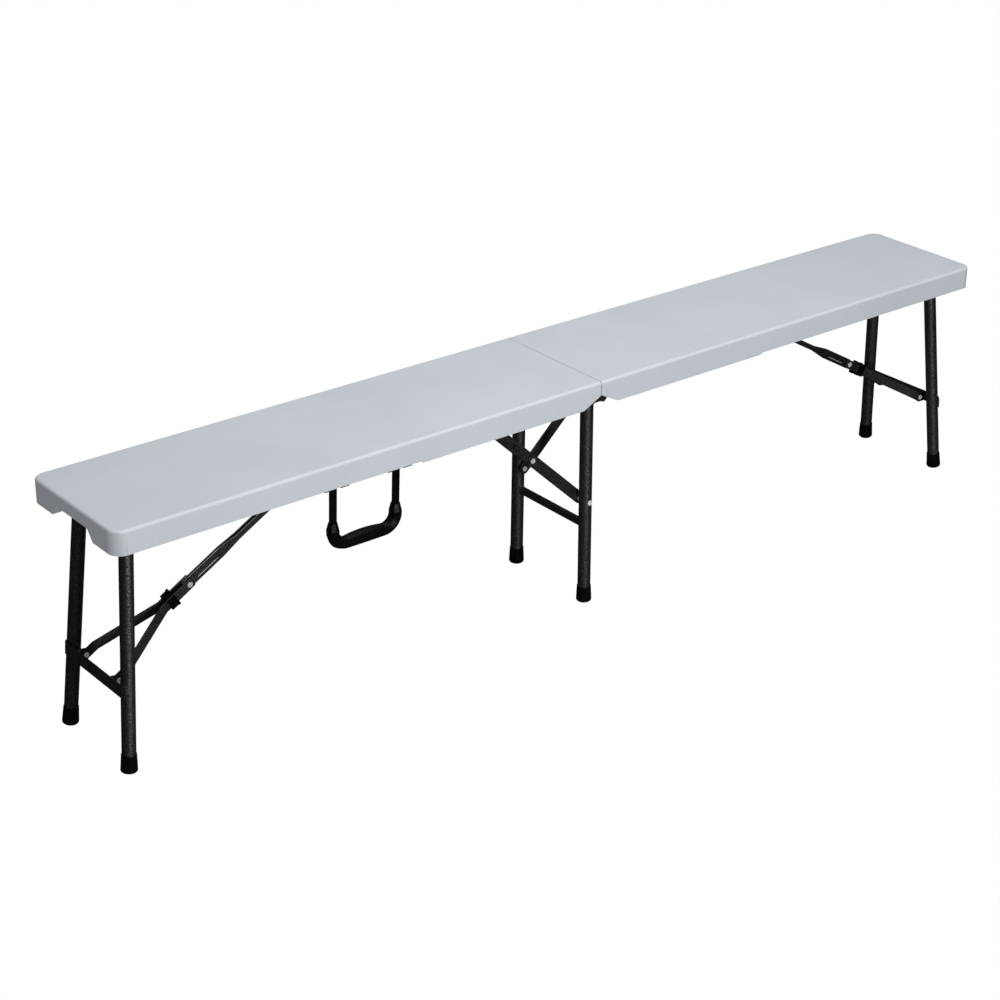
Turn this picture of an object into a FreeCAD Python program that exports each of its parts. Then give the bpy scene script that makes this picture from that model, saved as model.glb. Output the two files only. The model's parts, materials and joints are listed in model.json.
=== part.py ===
import FreeCAD, Part
import math
import os

from FreeCAD import Vector

os.makedirs("parts", exist_ok=True)

# Folding bench, in millimetres. X runs along the bench, Y across it, +Z is up, the floor is z = 0.
# The left half is built first; the right half is the same hardware turned half round the Z axis.

# Overall size
LENGTH = 1830.0
WIDTH = 250.0
HEIGHT = 420.0
SEAM_GAP = 1.0

# Clearances
RUN_FIT = 0.05
SIDE_GAP = 0.3

# Moulded top
PANEL_THICK = 15.0
CENTER_SKIRT_DEPTH = 43.0
END_SKIRT_DEPTH = 40.0
SKIRT_STEP_X = 367.0
SKIRT_STEP_RUN = 3.0
SKIRT_THICK = 17.0
END_WALL_THICK = 18.0
PLAN_CORNER_R = 22.0
TOP_EDGE_R = 5.0
SEAM_EDGE_R = 1.2
SEAM_CHAMFER_LENGTH = 37.0
SEAM_CHAMFER_RISE = 19.0
ARCH_ROOF_DROP = 7.0
ARCH_HALF_TOP = 45.0
ARCH_HALF_FOOT = 60.0
HINGE_POCKET_LENGTH = 45.0
HINGE_SKIRT_THICK = 7.0

# Ribbed underside
CELL_PITCH = 66.0
CELL_SIZE = 54.0
CELL_CORNER = 9.0
CELL_DEPTH = 8.0
CELL_END_INSET = 103.0
CELL_COLUMNS = 12
PAD_MARGIN = 4.0
KNEE_GROOVE_FROM_PIVOT = 28.0
KNEE_GROOVE_LENGTH = 276.0
KNEE_GROOVE_HALF = 17.5

# Tubes and feet
LEG_R = 11.25
LEG_WALL = 1.2
PIVOT_TUBE_R = 8.0
TOP_TUBE_R = 9.0
CAP_R = 13.4
CAP_TOP_R = 12.2
CAP_LENGTH = 30.0
CAP_FLOOR = 6.0
CAP_ROUND = 4.0
CAP_TOP_BEVEL = 0.6

# End leg frame
LEG_PIVOT_INSET = 51.0
LEG_PIVOT_DROP = 14.0
LEG_SPLAY = 36.0
END_FOOT_INSET = 34.4
END_TOP_INSET = 58.0
PIVOT_TUBE_END_GAP = 8.0
CLIP_END_GAP = 2.0
CLIP_WIDTH = 14.0
CLIP_HALF_LENGTH = 24.0
CLIP_SCREW_X = 18.0
LEG_BAR_Z = 136.0
LEG_BAR_HEIGHT = 21.0
LEG_BAR_THICK = 2.0
LEG_BAR_WRAP = 45.0
FLAT_THICK = 3.0

# Centre leg frame
CENTER_FOOT_INSET = 32.2
CENTER_TOP_INSET = 36.7
TOP_TUBE_DROP = 15.0
CENTER_BAR_Z = 146.0
CENTER_BAR_HEIGHT = 16.0
CENTER_BAR_THICK = 8.0

# Seam hinge
HINGE_X = 12.0
HINGE_DROP = 20.0
HINGE_ROOM = 8.0
LINK_R = 6.0
LINK_TUBE_LOBE_R = 10.0
HINGE_PIN_R = 3.0
HINGE_HEAD_R = 4.8
HINGE_HEAD_THICK = 1.0
EAR_R = 6.5
EAR_FLANGE_X = 44.0
EAR_FLANGE_LENGTH = 24.0
EAR_FLANGE_WIDTH = 25.3
EAR_WEB_ANGLES = (29.0, 243.0)
EAR_SCREW_X = 32.0
EAR_SCREW_INSETS = (7.3, 19.3)

# Sheet brackets and screws
SHEET = 2.5
SCREW_R = 2.0
SCREW_HEAD_R = 4.0
SCREW_HEAD_THICK = 2.0
SCREW_DEPTH = 9.0
RIVET_R = 3.0
RIVET_HEAD_R = 4.8
RIVET_HEAD_THICK = 2.0

# End brace, in the plane y = 0
ARM_FOOT_OUT = 22.0
ARM_FOOT_ABOVE_BAR = 1.0
ARM_RUN = 158.0
ARM_RISE = 93.0
CHANNEL_RUN = 281.0
BRACE_PIN_DROP = 15.0
ARM_HEIGHT = 16.5
ARM_FOOT_Y = 48.0
ARM_BEND_START = 20.0
ARM_BEND_END = 129.0
ARM_PAST_KNEE = 9.0
ARM_END_CHAMFER = 3.0
LUG_R = 9.0
LUG_FOOT_LENGTH = 14.0
LUG_FOOT_HEIGHT = 20.0

# Upper channel of the end brace: deep and pinched by the knee, low and wide at its pin
CHANNEL_HALF_WIDTH = 3.0
CHANNEL_TOP_HALF_WIDTH = 4.8
CHANNEL_WALL = 1.5
CHANNEL_HALF_DEPTH = 9.2
CHANNEL_TOP_HALF_DEPTH = 4.8
CHANNEL_TAIL = 8.0
CHANNEL_BEND_START = 72.0
CHANNEL_BEND_END = 106.0
CHANNEL_HOLE_S = 86.0
CHANNEL_HOLE_R = 3.0
BRACE_EAR_R = 7.5
BRACE_EAR_FOOT = 12.0
BRACE_FLANGE_BACK = 22.0
BRACE_FLANGE_FRONT = 24.0
BRACE_SCREW_X = (-14.0, 16.0)

# Sliding lock
LOCK_FROM_KNEE = 37.0
LOCK_LENGTH = 16.0
LOCK_WALL = 3.4
LOCK_SIDE_WALL = 2.6
LOCK_INNER_WALL = 0.9
LOCK_RIM = 0.8
LOCK_RIM_LENGTH = 4.0
LOCK_ROUND = 2.4

# Centre stay, built on the near leg
STAY_FOOT_Z = 190.0
STAY_KNEE_X = -104.0
STAY_KNEE_Z = 288.0
STAY_TOP_X = -212.0
STAY_PIN_DROP = 15.0
STAY_BAR_HEIGHT = 20.0
STAY_STANDOFF = 3.85
STAY_COLLAR_R = 5.0
STAY_SHEET = 2.0
STAY_FLANGE_DEPTH = 10.0
STAY_FLANGE_INSETS = (12.0, 18.0)
STAY_HOLE_S = 50.0
STAY_HOLE_R = 4.0
STAY_HEAD_THICK = 1.8
STAY_PIN_HEAD_R = 5.0
STAY_PIN_HEAD_THICK = 1.5
STAY_EAR_R = 8.0
STAY_EAR_FOOT = 15.0
STAY_ANCHOR_WIDTH = 19.0
STAY_SCREW_X = 9.0
STAY_SCREW_INSET = 9.0

# Carry handle on the near skirt of the left half
HANDLE_X = -470.5
HANDLE_SPACING = 119.0
HANDLE_AXLE_INSET = 10.0
HANDLE_AXLE_R = 2.0
HANDLE_AXLE_LENGTH = 24.0
HANDLE_ARM_WIDTH = 12.5
HANDLE_ARM_THICK = 4.0
HANDLE_HANG = 2.7
GRIP_TOP_DROP = 64.0
GRIP_BOTTOM_DROP = 105.0
GRIP_R = 10.6
GRIP_END_R = 7.4
GRIP_END_TAPER = 13.0
GRIP_CORNER_R = 24.0
GRIP_SWELL = 1.4
RETAINER_LENGTH = 46.0
RETAINER_WIDTH = 16.0
RETAINER_EDGE_GAP = 0.6
RETAINER_SHEET = 1.8
RETAINER_SCREW_X = 18.0

# Values that follow from the sizes above
HALF_LENGTH = LENGTH / 2
HALF_WIDTH = WIDTH / 2
ROOF_Z = HEIGHT - PANEL_THICK
CENTER_SKIRT_Z = HEIGHT - CENTER_SKIRT_DEPTH
END_SKIRT_Z = HEIGHT - END_SKIRT_DEPTH
RECESS_HALF = HALF_WIDTH - SKIRT_THICK
ARCH_ROOF_Z = ROOF_Z - ARCH_ROOF_DROP
LEG_PIVOT_X = LEG_PIVOT_INSET - HALF_LENGTH
LEG_PIVOT_Z = ROOF_Z - LEG_PIVOT_DROP
END_FOOT_X = LEG_PIVOT_X - LEG_SPLAY
END_FOOT_Y = HALF_WIDTH - END_FOOT_INSET
END_TOP_Y = HALF_WIDTH - END_TOP_INSET
PIVOT_TUBE_HALF = RECESS_HALF - PIVOT_TUBE_END_GAP
CENTER_FOOT_Y = HALF_WIDTH - CENTER_FOOT_INSET
CENTER_TOP_Y = HALF_WIDTH - CENTER_TOP_INSET
TOP_TUBE_Z = ROOF_Z - TOP_TUBE_DROP
HINGE_Z = ROOF_Z - HINGE_DROP
HINGE_POCKET_HALF_WIDTH = HALF_WIDTH - HINGE_SKIRT_THICK
LINK_INNER_Y = HINGE_POCKET_HALF_WIDTH - HINGE_ROOM
ARM_FOOT_X = LEG_PIVOT_X - ARM_FOOT_OUT
ARM_FOOT_Z = LEG_BAR_Z + ARM_FOOT_ABOVE_BAR
KNEE_X = ARM_FOOT_X + ARM_RUN
KNEE_Z = ARM_FOOT_Z + ARM_RISE
BRACE_TOP_X = KNEE_X + CHANNEL_RUN
BRACE_TOP_Z = ROOF_Z - BRACE_PIN_DROP
ARM_KNEE_Y = CHANNEL_HALF_WIDTH + SIDE_GAP + LOCK_INNER_WALL + SIDE_GAP + FLAT_THICK / 2
STAY_TOP_Z = ROOF_Z - STAY_PIN_DROP
STAY_LEG_Y = CENTER_FOOT_Y + (CENTER_TOP_Y - CENTER_FOOT_Y) * STAY_FOOT_Z / TOP_TUBE_Z
STAY_BAR_OUTER_Y = STAY_LEG_Y - LEG_R - STAY_STANDOFF
HANDLE_AXLE_Y = HANDLE_AXLE_INSET - HALF_WIDTH
GRIP_TOP_Z = END_SKIRT_Z - GRIP_TOP_DROP
GRIP_BOTTOM_Z = END_SKIRT_Z - GRIP_BOTTOM_DROP
CELL_FIRST_X = CELL_END_INSET - HALF_LENGTH
LEG_TILT = math.degrees(math.atan2(LEG_SPLAY, LEG_PIVOT_Z))
ARM_LENGTH = math.hypot(KNEE_X - ARM_FOOT_X, KNEE_Z - ARM_FOOT_Z)
ARM_ANGLE = math.degrees(math.atan2(KNEE_Z - ARM_FOOT_Z, KNEE_X - ARM_FOOT_X))
CHANNEL_LENGTH = math.hypot(BRACE_TOP_X - KNEE_X, BRACE_TOP_Z - KNEE_Z)
CHANNEL_ANGLE = math.degrees(math.atan2(BRACE_TOP_Z - KNEE_Z, BRACE_TOP_X - KNEE_X))
STAY_CHANNEL_LENGTH = math.hypot(STAY_TOP_X - STAY_KNEE_X, STAY_TOP_Z - STAY_KNEE_Z)
STAY_CHANNEL_ANGLE = math.degrees(math.atan2(STAY_TOP_Z - STAY_KNEE_Z, STAY_TOP_X - STAY_KNEE_X))
WEB_OUTER_Y = STAY_BAR_OUTER_Y - FLAT_THICK - SIDE_GAP
WEB_INNER_Y = WEB_OUTER_Y - STAY_SHEET

ACROSS = Vector(0, 1, 0)
UP = Vector(0, 0, 1)
NODES = {}


# Small helpers for shapes
def keep(node, *solids):
    """Files the solids of one node, written out at the end."""
    NODES.setdefault(node, []).extend(solids)


def turned(shape):
    """The same shape on the other half: half a turn about the vertical centre line."""
    copy = shape.copy()
    copy.rotate(Vector(0, 0, 0), UP, 180)
    return copy


def mirrored_y(shape):
    return shape.mirror(Vector(0, 0, 0), ACROSS)


def prism_xz(points, y0, y1):
    """A prism across the bench: an outline of (x, z) points between two y planes."""
    loop = [Vector(x, y0, z) for x, z in points]
    return Part.Face(Part.makePolygon(loop + loop[:1])).extrude(Vector(0, y1 - y0, 0))


def prism_xy(points, z0, z1):
    loop = [Vector(x, y, z0) for x, y in points]
    return Part.Face(Part.makePolygon(loop + loop[:1])).extrude(Vector(0, 0, z1 - z0))


def rod_y(x, z, radius, y0, y1):
    return Part.makeCylinder(radius, abs(y1 - y0), Vector(x, min(y0, y1), z), ACROSS)


def slot_xz(start, end, radius, y0, y1):
    """A bar with round ends between two (x, z) centres."""
    a = Vector(start[0], y0, start[1])
    b = Vector(end[0], y0, end[1])
    along = (b - a).normalize() * radius
    side = Vector(-along.z, 0, along.x)
    edges = [
        Part.makeLine(a + side, b + side),
        Part.Arc(b + side, b + along, b - side).toShape(),
        Part.makeLine(b - side, a - side),
        Part.Arc(a - side, a - along, a + side).toShape(),
    ]
    return Part.Face(Part.Wire(edges)).extrude(Vector(0, y1 - y0, 0))


def tube(start, end, radius, wall):
    axis = end - start
    outer = Part.makeCylinder(radius, axis.Length, start, axis)
    return outer.cut(Part.makeCylinder(radius - wall, axis.Length, start, axis))


def joined(*shapes):
    whole = shapes[0]
    for shape in shapes[1:]:
        whole = whole.fuse(shape)
    return whole.removeSplitter()


def strip(points, thickness):
    """The outline of a bent strip of constant thickness along a line of (s, y) points."""
    half = thickness / 2
    normals = []
    for (s0, y0), (s1, y1) in zip(points, points[1:]):
        size = math.hypot(s1 - s0, y1 - y0)
        normals.append((-(y1 - y0) / size, (s1 - s0) / size))
    left, right = [], []
    for i, (s, y) in enumerate(points):
        before = normals[max(i - 1, 0)]
        after = normals[min(i, len(normals) - 1)]
        mid = (before[0] + after[0], before[1] + after[1])
        scale = half * 2 / (mid[0] ** 2 + mid[1] ** 2)
        left.append((s + mid[0] * scale, y + mid[1] * scale))
        right.append((s - mid[0] * scale, y - mid[1] * scale))
    return left + right[::-1]


def swung(shape, angle, x, z):
    """Turns a link drawn along +X from the origin to its slope, and moves it to its lower pivot."""
    shape.rotate(Vector(0, 0, 0), Vector(0, -1, 0), angle)
    shape.translate(Vector(x, 0, z))
    return shape


def tilted(shape):
    """Leans an upright end leg frame out about its pivot."""
    shape.rotate(Vector(LEG_PIVOT_X, 0, LEG_PIVOT_Z), ACROSS, LEG_TILT)
    return shape


def rivet(x, z, y_in, y_out, radius=RIVET_R, head=RIVET_HEAD_R, thick=RIVET_HEAD_THICK):
    """A rivet across two sheets, a low domed head past each end."""
    low, high = sorted((y_in, y_out))
    shank = rod_y(x, z, radius, low, high)
    dome = Part.makeCone(head, head * 0.6, thick, Vector(x, high, z), ACROSS)
    tail = Part.makeCone(head, head * 0.6, thick, Vector(x, low, z), Vector(0, -1, 0))
    return joined(shank, dome, tail)


def screw(x, y, z_under):
    """A pan-head screw driven up into the plastic from the plane z_under."""
    head = Part.makeCylinder(SCREW_HEAD_R, SCREW_HEAD_THICK, Vector(x, y, z_under - SCREW_HEAD_THICK))
    return joined(head, Part.makeCylinder(SCREW_R, SCREW_DEPTH, Vector(x, y, z_under)))


def screw_hole(x, y, z_under):
    return Part.makeCylinder(SCREW_R, SCREW_DEPTH, Vector(x, y, z_under))


# Screw places in the left half, (x, y, plane the head bears on)
def hinge_screws(side):
    ear_out = LINK_INNER_Y + 2 * FLAT_THICK + SIDE_GAP
    return [(-EAR_SCREW_X, side * (ear_out - inset), ROOF_Z - SHEET) for inset in EAR_SCREW_INSETS]


def clip_screws(side):
    y = PIVOT_TUBE_HALF - CLIP_END_GAP - CLIP_WIDTH / 2
    return [(LEG_PIVOT_X + dx, side * y, ROOF_Z - SHEET) for dx in (-CLIP_SCREW_X, CLIP_SCREW_X)]


def brace_anchor_screws():
    return [(BRACE_TOP_X + dx, 0.0, ROOF_Z - SHEET) for dx in BRACE_SCREW_X]


def stay_anchor_screws():
    y = -(WEB_INNER_Y - SIDE_GAP - FLAT_THICK - STAY_SCREW_INSET)
    return [(STAY_TOP_X + dx, y, ROOF_Z - SHEET) for dx in (-STAY_SCREW_X, STAY_SCREW_X)]


def retainer_screws():
    places = []
    for arm_x in handle_arm_x():
        for dx in (-RETAINER_SCREW_X, RETAINER_SCREW_X):
            places.append((arm_x + dx, HANDLE_AXLE_Y, END_SKIRT_Z - RETAINER_SHEET))
    return places


def roof_screws():
    hinges = hinge_screws(1) + hinge_screws(-1)
    clips = clip_screws(1) + clip_screws(-1)
    return hinges + clips + brace_anchor_screws() + stay_anchor_screws()


def handle_arm_x():
    return (HANDLE_X - HANDLE_SPACING / 2, HANDLE_X + HANDLE_SPACING / 2)


# Moulded top: a double-wall panel with skirts, ribbed underneath
def top_blank():
    """The outer block: rounded plan corners at the free end and a rolled top edge."""
    depth = CENTER_SKIRT_DEPTH
    block = Part.makeBox(HALF_LENGTH - SEAM_GAP / 2, WIDTH, depth,
                         Vector(-HALF_LENGTH, -HALF_WIDTH, CENTER_SKIRT_Z))
    upright = [e for e in block.Edges if e.BoundBox.ZLength > depth / 2 and e.BoundBox.XMin < -HALF_LENGTH / 2]
    block = block.makeFillet(PLAN_CORNER_R, upright)
    rim = [e for e in block.Edges
           if e.BoundBox.ZMin > HEIGHT - 1 and e.BoundBox.XMin < -HALF_LENGTH / 2]
    block = block.makeFillet(TOP_EDGE_R, rim)
    seam = [e for e in block.Edges if e.BoundBox.XMin > -SEAM_GAP and e.BoundBox.ZMin > ROOF_Z]
    return block.makeFillet(SEAM_EDGE_R, seam)


def skirt_trim():
    """What the skirts lose below: shallower ends, a short ramp, and the chamfer at the seam."""
    low = CENTER_SKIRT_Z - 5
    return prism_xz([
        (-HALF_LENGTH - 1, low),
        (-HALF_LENGTH - 1, END_SKIRT_Z),
        (-SKIRT_STEP_X - SKIRT_STEP_RUN, END_SKIRT_Z),
        (-SKIRT_STEP_X, CENTER_SKIRT_Z),
        (-SEAM_CHAMFER_LENGTH, CENTER_SKIRT_Z),
        (0, CENTER_SKIRT_Z + SEAM_CHAMFER_RISE),
        (0, low),
    ], -HALF_WIDTH - 1, HALF_WIDTH + 1)


def recess():
    """The hollow between the skirts, open at the seam, with the deeper hinge pocket there."""
    low = CENTER_SKIRT_Z - 1
    depth = ROOF_Z - low
    main = Part.makeBox(HALF_LENGTH - END_WALL_THICK, 2 * RECESS_HALF, depth,
                        Vector(-HALF_LENGTH + END_WALL_THICK, -RECESS_HALF, low))
    corners = [e for e in main.Edges if e.BoundBox.ZLength > depth / 2 and e.BoundBox.XMin < -HALF_LENGTH / 2]
    main = main.makeFillet(PLAN_CORNER_R - END_WALL_THICK / 2, corners)
    pocket = Part.makeBox(HINGE_POCKET_LENGTH, 2 * HINGE_POCKET_HALF_WIDTH, depth,
                          Vector(-HINGE_POCKET_LENGTH, -HINGE_POCKET_HALF_WIDTH, low))
    return main.fuse(pocket)


def end_arch():
    loop = [
        Vector(0, -ARCH_HALF_FOOT, END_SKIRT_Z - 1),
        Vector(0, -ARCH_HALF_FOOT, END_SKIRT_Z),
        Vector(0, -ARCH_HALF_TOP, ARCH_ROOF_Z),
        Vector(0, ARCH_HALF_TOP, ARCH_ROOF_Z),
        Vector(0, ARCH_HALF_FOOT, END_SKIRT_Z),
        Vector(0, ARCH_HALF_FOOT, END_SKIRT_Z - 1),
    ]
    arch = Part.Face(Part.makePolygon(loop + loop[:1])).extrude(Vector(END_WALL_THICK + 2, 0, 0))
    arch.translate(Vector(-HALF_LENGTH - 1, 0, 0))
    return arch


def rib_cells():
    """Eight-sided hollows between the ribs, left out where a bracket is screwed on."""
    brace_half = CELL_SIZE / 2 - CELL_CORNER + PAD_MARGIN
    stay_y0 = -WEB_INNER_Y - PAD_MARGIN
    stay_y1 = STAY_ANCHOR_WIDTH + PAD_MARGIN - WEB_INNER_Y
    pads = [
        (BRACE_TOP_X - BRACE_FLANGE_BACK - PAD_MARGIN, BRACE_TOP_X + BRACE_FLANGE_FRONT + PAD_MARGIN,
         -brace_half, brace_half),
        (STAY_TOP_X - STAY_EAR_FOOT - PAD_MARGIN, STAY_TOP_X + STAY_EAR_FOOT + PAD_MARGIN, stay_y0, stay_y1),
    ]
    half, cut = CELL_SIZE / 2, CELL_CORNER
    cells = []
    for column in range(CELL_COLUMNS):
        for row in (-1, 0, 1):
            x, y = CELL_FIRST_X + column * CELL_PITCH, row * CELL_PITCH
            if any(x + half > a and x - half < b and y + half > c and y - half < d for a, b, c, d in pads):
                continue
            outline = []
            for sx, sy in ((1, 1), (-1, 1), (-1, -1), (1, -1)):
                pair = [(x + sx * half, y + sy * (half - cut)), (x + sx * (half - cut), y + sy * half)]
                outline += pair if sx * sy > 0 else pair[::-1]
            cells.append(prism_xy(outline, ROOF_Z - 1, ROOF_Z + CELL_DEPTH))
    return cells


def knee_groove():
    """The groove along the middle that lets the brace's knee pass as it folds."""
    corner = Vector(LEG_PIVOT_X + KNEE_GROOVE_FROM_PIVOT, -KNEE_GROOVE_HALF, ROOF_Z - 1)
    return Part.makeBox(KNEE_GROOVE_LENGTH, 2 * KNEE_GROOVE_HALF, CELL_DEPTH + 1, corner)


def make_top(has_handle):
    top = top_blank().cut(skirt_trim()).cut(recess()).cut(end_arch()).cut(knee_groove())
    holes = [screw_hole(x, y, z) for x, y, z in roof_screws()]
    if has_handle:
        holes += [screw_hole(x, y, z) for x, y, z in retainer_screws()]
        holes += handle_grooves()
    return top.cut(Part.makeCompound(rib_cells())).cut(Part.makeCompound(holes))


# Seam hinge: link plates on the centre frame, ears under each half
def make_hinge_ear(side):
    """An ear with its flange under the roof; side is +1 or -1 in Y."""
    ear_in = LINK_INNER_Y + FLAT_THICK + SIDE_GAP
    ear_out = ear_in + FLAT_THICK
    disc = rod_y(-HINGE_X, HINGE_Z, EAR_R, side * ear_in, side * ear_out)
    front, back = [math.radians(angle) for angle in EAR_WEB_ANGLES]
    web = prism_xz([
        (-EAR_FLANGE_X, ROOF_Z),
        (EAR_FLANGE_LENGTH - EAR_FLANGE_X, ROOF_Z),
        (-HINGE_X + EAR_R * math.cos(front), HINGE_Z + EAR_R * math.sin(front)),
        (-HINGE_X + EAR_R * math.cos(back), HINGE_Z + EAR_R * math.sin(back)),
    ], side * ear_in, side * ear_out)
    flange_y = ear_out - EAR_FLANGE_WIDTH if side > 0 else -ear_out
    flange = Part.makeBox(EAR_FLANGE_LENGTH, EAR_FLANGE_WIDTH, SHEET,
                          Vector(-EAR_FLANGE_X, flange_y, ROOF_Z - SHEET))
    ear = joined(disc, web, flange)
    ear = ear.cut(rod_y(-HINGE_X, HINGE_Z, HINGE_PIN_R + RUN_FIT, side * ear_in, side * ear_out))
    for x, y, z in hinge_screws(side):
        ear = ear.cut(screw_hole(x, y, z))
    return ear


def make_hinge_link(side):
    inner, outer = side * LINK_INNER_Y, side * (LINK_INNER_Y + FLAT_THICK)
    bar = slot_xz((-HINGE_X, HINGE_Z), (HINGE_X, HINGE_Z), LINK_R, inner, outer)
    link = joined(bar, rod_y(0, TOP_TUBE_Z, LINK_TUBE_LOBE_R, inner, outer))
    for x in (-HINGE_X, HINGE_X):
        link = link.cut(rod_y(x, HINGE_Z, HINGE_PIN_R, inner, outer))
    return link


def make_hinge_pin(x, side):
    ear_out = LINK_INNER_Y + 2 * FLAT_THICK + SIDE_GAP
    head_in = ear_out + SIDE_GAP
    shank = rod_y(x, HINGE_Z, HINGE_PIN_R, side * LINK_INNER_Y, side * head_in)
    head = rod_y(x, HINGE_Z, HINGE_HEAD_R, side * head_in, side * (head_in + HINGE_HEAD_THICK))
    return joined(shank, head)


# Legs, feet and the tubes across their tops
def cap_profile():
    """A foot cap about the Z axis, its sole at the origin and its socket open upwards."""
    r, bottom = CAP_R, CAP_R - CAP_ROUND
    arc_mid = Vector(bottom + CAP_ROUND * math.sin(math.pi / 4), 0, CAP_ROUND * (1 - math.cos(math.pi / 4)))
    edges = [
        Part.makeLine(Vector(0, 0, 0), Vector(bottom, 0, 0)),
        Part.Arc(Vector(bottom, 0, 0), arc_mid, Vector(r, 0, CAP_ROUND)).toShape(),
        Part.makeLine(Vector(r, 0, CAP_ROUND), Vector(CAP_TOP_R, 0, CAP_LENGTH - CAP_TOP_BEVEL)),
        Part.makeLine(Vector(CAP_TOP_R, 0, CAP_LENGTH - CAP_TOP_BEVEL),
                      Vector(CAP_TOP_R - CAP_TOP_BEVEL, 0, CAP_LENGTH)),
        Part.makeLine(Vector(CAP_TOP_R - CAP_TOP_BEVEL, 0, CAP_LENGTH), Vector(LEG_R, 0, CAP_LENGTH)),
        Part.makeLine(Vector(LEG_R, 0, CAP_LENGTH), Vector(LEG_R, 0, CAP_FLOOR)),
        Part.makeLine(Vector(LEG_R, 0, CAP_FLOOR), Vector(0, 0, CAP_FLOOR)),
        Part.makeLine(Vector(0, 0, CAP_FLOOR), Vector(0, 0, 0)),
    ]
    return Part.Face(Part.Wire(edges)).revolve(Vector(0, 0, 0), UP, 360)


def foot_lift(axis):
    """How far up a leaning axis the cap sits, so that its lowest point meets the floor."""
    lean = UP.getAngle(axis)
    low_edge = (CAP_R - CAP_ROUND) * math.sin(lean) - CAP_ROUND * (1 - math.cos(lean))
    return low_edge / math.cos(lean)


def make_leg(foot, top):
    """One leg tube and its cap; foot is where the leg's axis meets the floor."""
    axis = (top - foot).normalize()
    sole = foot + axis * foot_lift(axis)
    cap = cap_profile()
    cap.Placement = FreeCAD.Placement(sole, FreeCAD.Rotation(UP, axis))
    leg = tube(sole + axis * CAP_FLOOR, top + axis * LEG_R, LEG_R, LEG_WALL)
    return leg, cap


def fish_mouth(leg, x, z, radius):
    """Copes a leg's top round a cross tube and takes off what stands above the tube's axis."""
    reach = 4 * LEG_R
    above = Part.makeBox(2 * reach, 2 * WIDTH, reach, Vector(x - reach, -WIDTH, z))
    return leg.cut(above).cut(rod_y(x, z, radius, -WIDTH, WIDTH))


def end_leg_point(height, side):
    """A point of an end leg's axis at a height, in the leaning frame."""
    share = height / LEG_PIVOT_Z
    x = END_FOOT_X + (LEG_PIVOT_X - END_FOOT_X) * share
    y = END_FOOT_Y + (END_TOP_Y - END_FOOT_Y) * share
    return Vector(x, side * y, height)


def make_end_leg(side):
    leg, cap = make_leg(end_leg_point(0, side), end_leg_point(LEG_PIVOT_Z, side))
    return fish_mouth(leg, LEG_PIVOT_X, LEG_PIVOT_Z, PIVOT_TUBE_R), cap


def leg_core(side):
    """The filled leg, to cut other pieces back to its skin."""
    foot, top = end_leg_point(0, side), end_leg_point(LEG_PIVOT_Z, side)
    return Part.makeCylinder(LEG_R, (top - foot).Length, foot, top - foot)


def make_leg_bar():
    """The flat crossbar on the outside of both end legs, its ends wrapped round them."""
    drop = (LEG_PIVOT_Z - LEG_BAR_Z) / math.cos(math.radians(LEG_TILT))
    z0 = LEG_PIVOT_Z - drop - LEG_BAR_HEIGHT / 2
    leg_y = end_leg_point(LEG_BAR_Z, 1).y
    back = LEG_R + LEG_BAR_THICK
    spread = back * math.tan(math.radians(LEG_BAR_WRAP))
    bar = Part.makeBox(LEG_BAR_THICK, 2 * leg_y, LEG_BAR_HEIGHT, Vector(LEG_PIVOT_X - back, -leg_y, z0))
    wraps = []
    for side in (-1, 1):
        ring = Part.makeCylinder(back, LEG_BAR_HEIGHT, Vector(LEG_PIVOT_X, side * leg_y, z0))
        ring = ring.cut(Part.makeCylinder(LEG_R, LEG_BAR_HEIGHT, Vector(LEG_PIVOT_X, side * leg_y, z0)))
        sector = prism_xy([(LEG_PIVOT_X, side * leg_y), (LEG_PIVOT_X - 2 * back, side * leg_y),
                           (LEG_PIVOT_X - 2 * back, side * (leg_y + 2 * spread))], z0, z0 + LEG_BAR_HEIGHT)
        wraps.append(ring.common(sector))
    bar = tilted(joined(bar, *wraps))
    return bar.cut(leg_core(1)).cut(leg_core(-1))


def lug_y(side):
    inner = ARM_FOOT_Y + FLAT_THICK / 2 + SIDE_GAP
    return side * inner, side * (inner + FLAT_THICK)


def make_lug(side):
    """A lug bracket on the crossbar's inner face, holding the foot of one brace arm."""
    y0, y1 = lug_y(side)
    angle = math.radians(LEG_TILT)
    dx, dz = ARM_FOOT_X - LEG_PIVOT_X, ARM_FOOT_Z - LEG_PIVOT_Z
    pin_x = LEG_PIVOT_X + dx * math.cos(angle) - dz * math.sin(angle)
    pin_z = LEG_PIVOT_Z + dx * math.sin(angle) + dz * math.cos(angle)
    face = LEG_PIVOT_X - LEG_R
    half = LUG_FOOT_HEIGHT / 2
    web = prism_xz([(face, pin_z - half), (pin_x, pin_z - LUG_R), (pin_x, pin_z + LUG_R),
                    (face, pin_z + half)], y0, y1)
    disc = rod_y(pin_x, pin_z, LUG_R, y0, y1)
    foot = Part.makeBox(LEG_BAR_THICK, LUG_FOOT_LENGTH, LUG_FOOT_HEIGHT,
                        Vector(face, y0 if side > 0 else y0 - LUG_FOOT_LENGTH, pin_z - half))
    lug = joined(web, disc, foot).cut(rod_y(pin_x, pin_z, RIVET_R, y0, y1))
    return tilted(lug)


def make_lug_rivet(side):
    arm_in = side * (ARM_FOOT_Y - FLAT_THICK / 2 - SIDE_GAP)
    return rivet(ARM_FOOT_X, ARM_FOOT_Z, arm_in, lug_y(side)[1])


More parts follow.
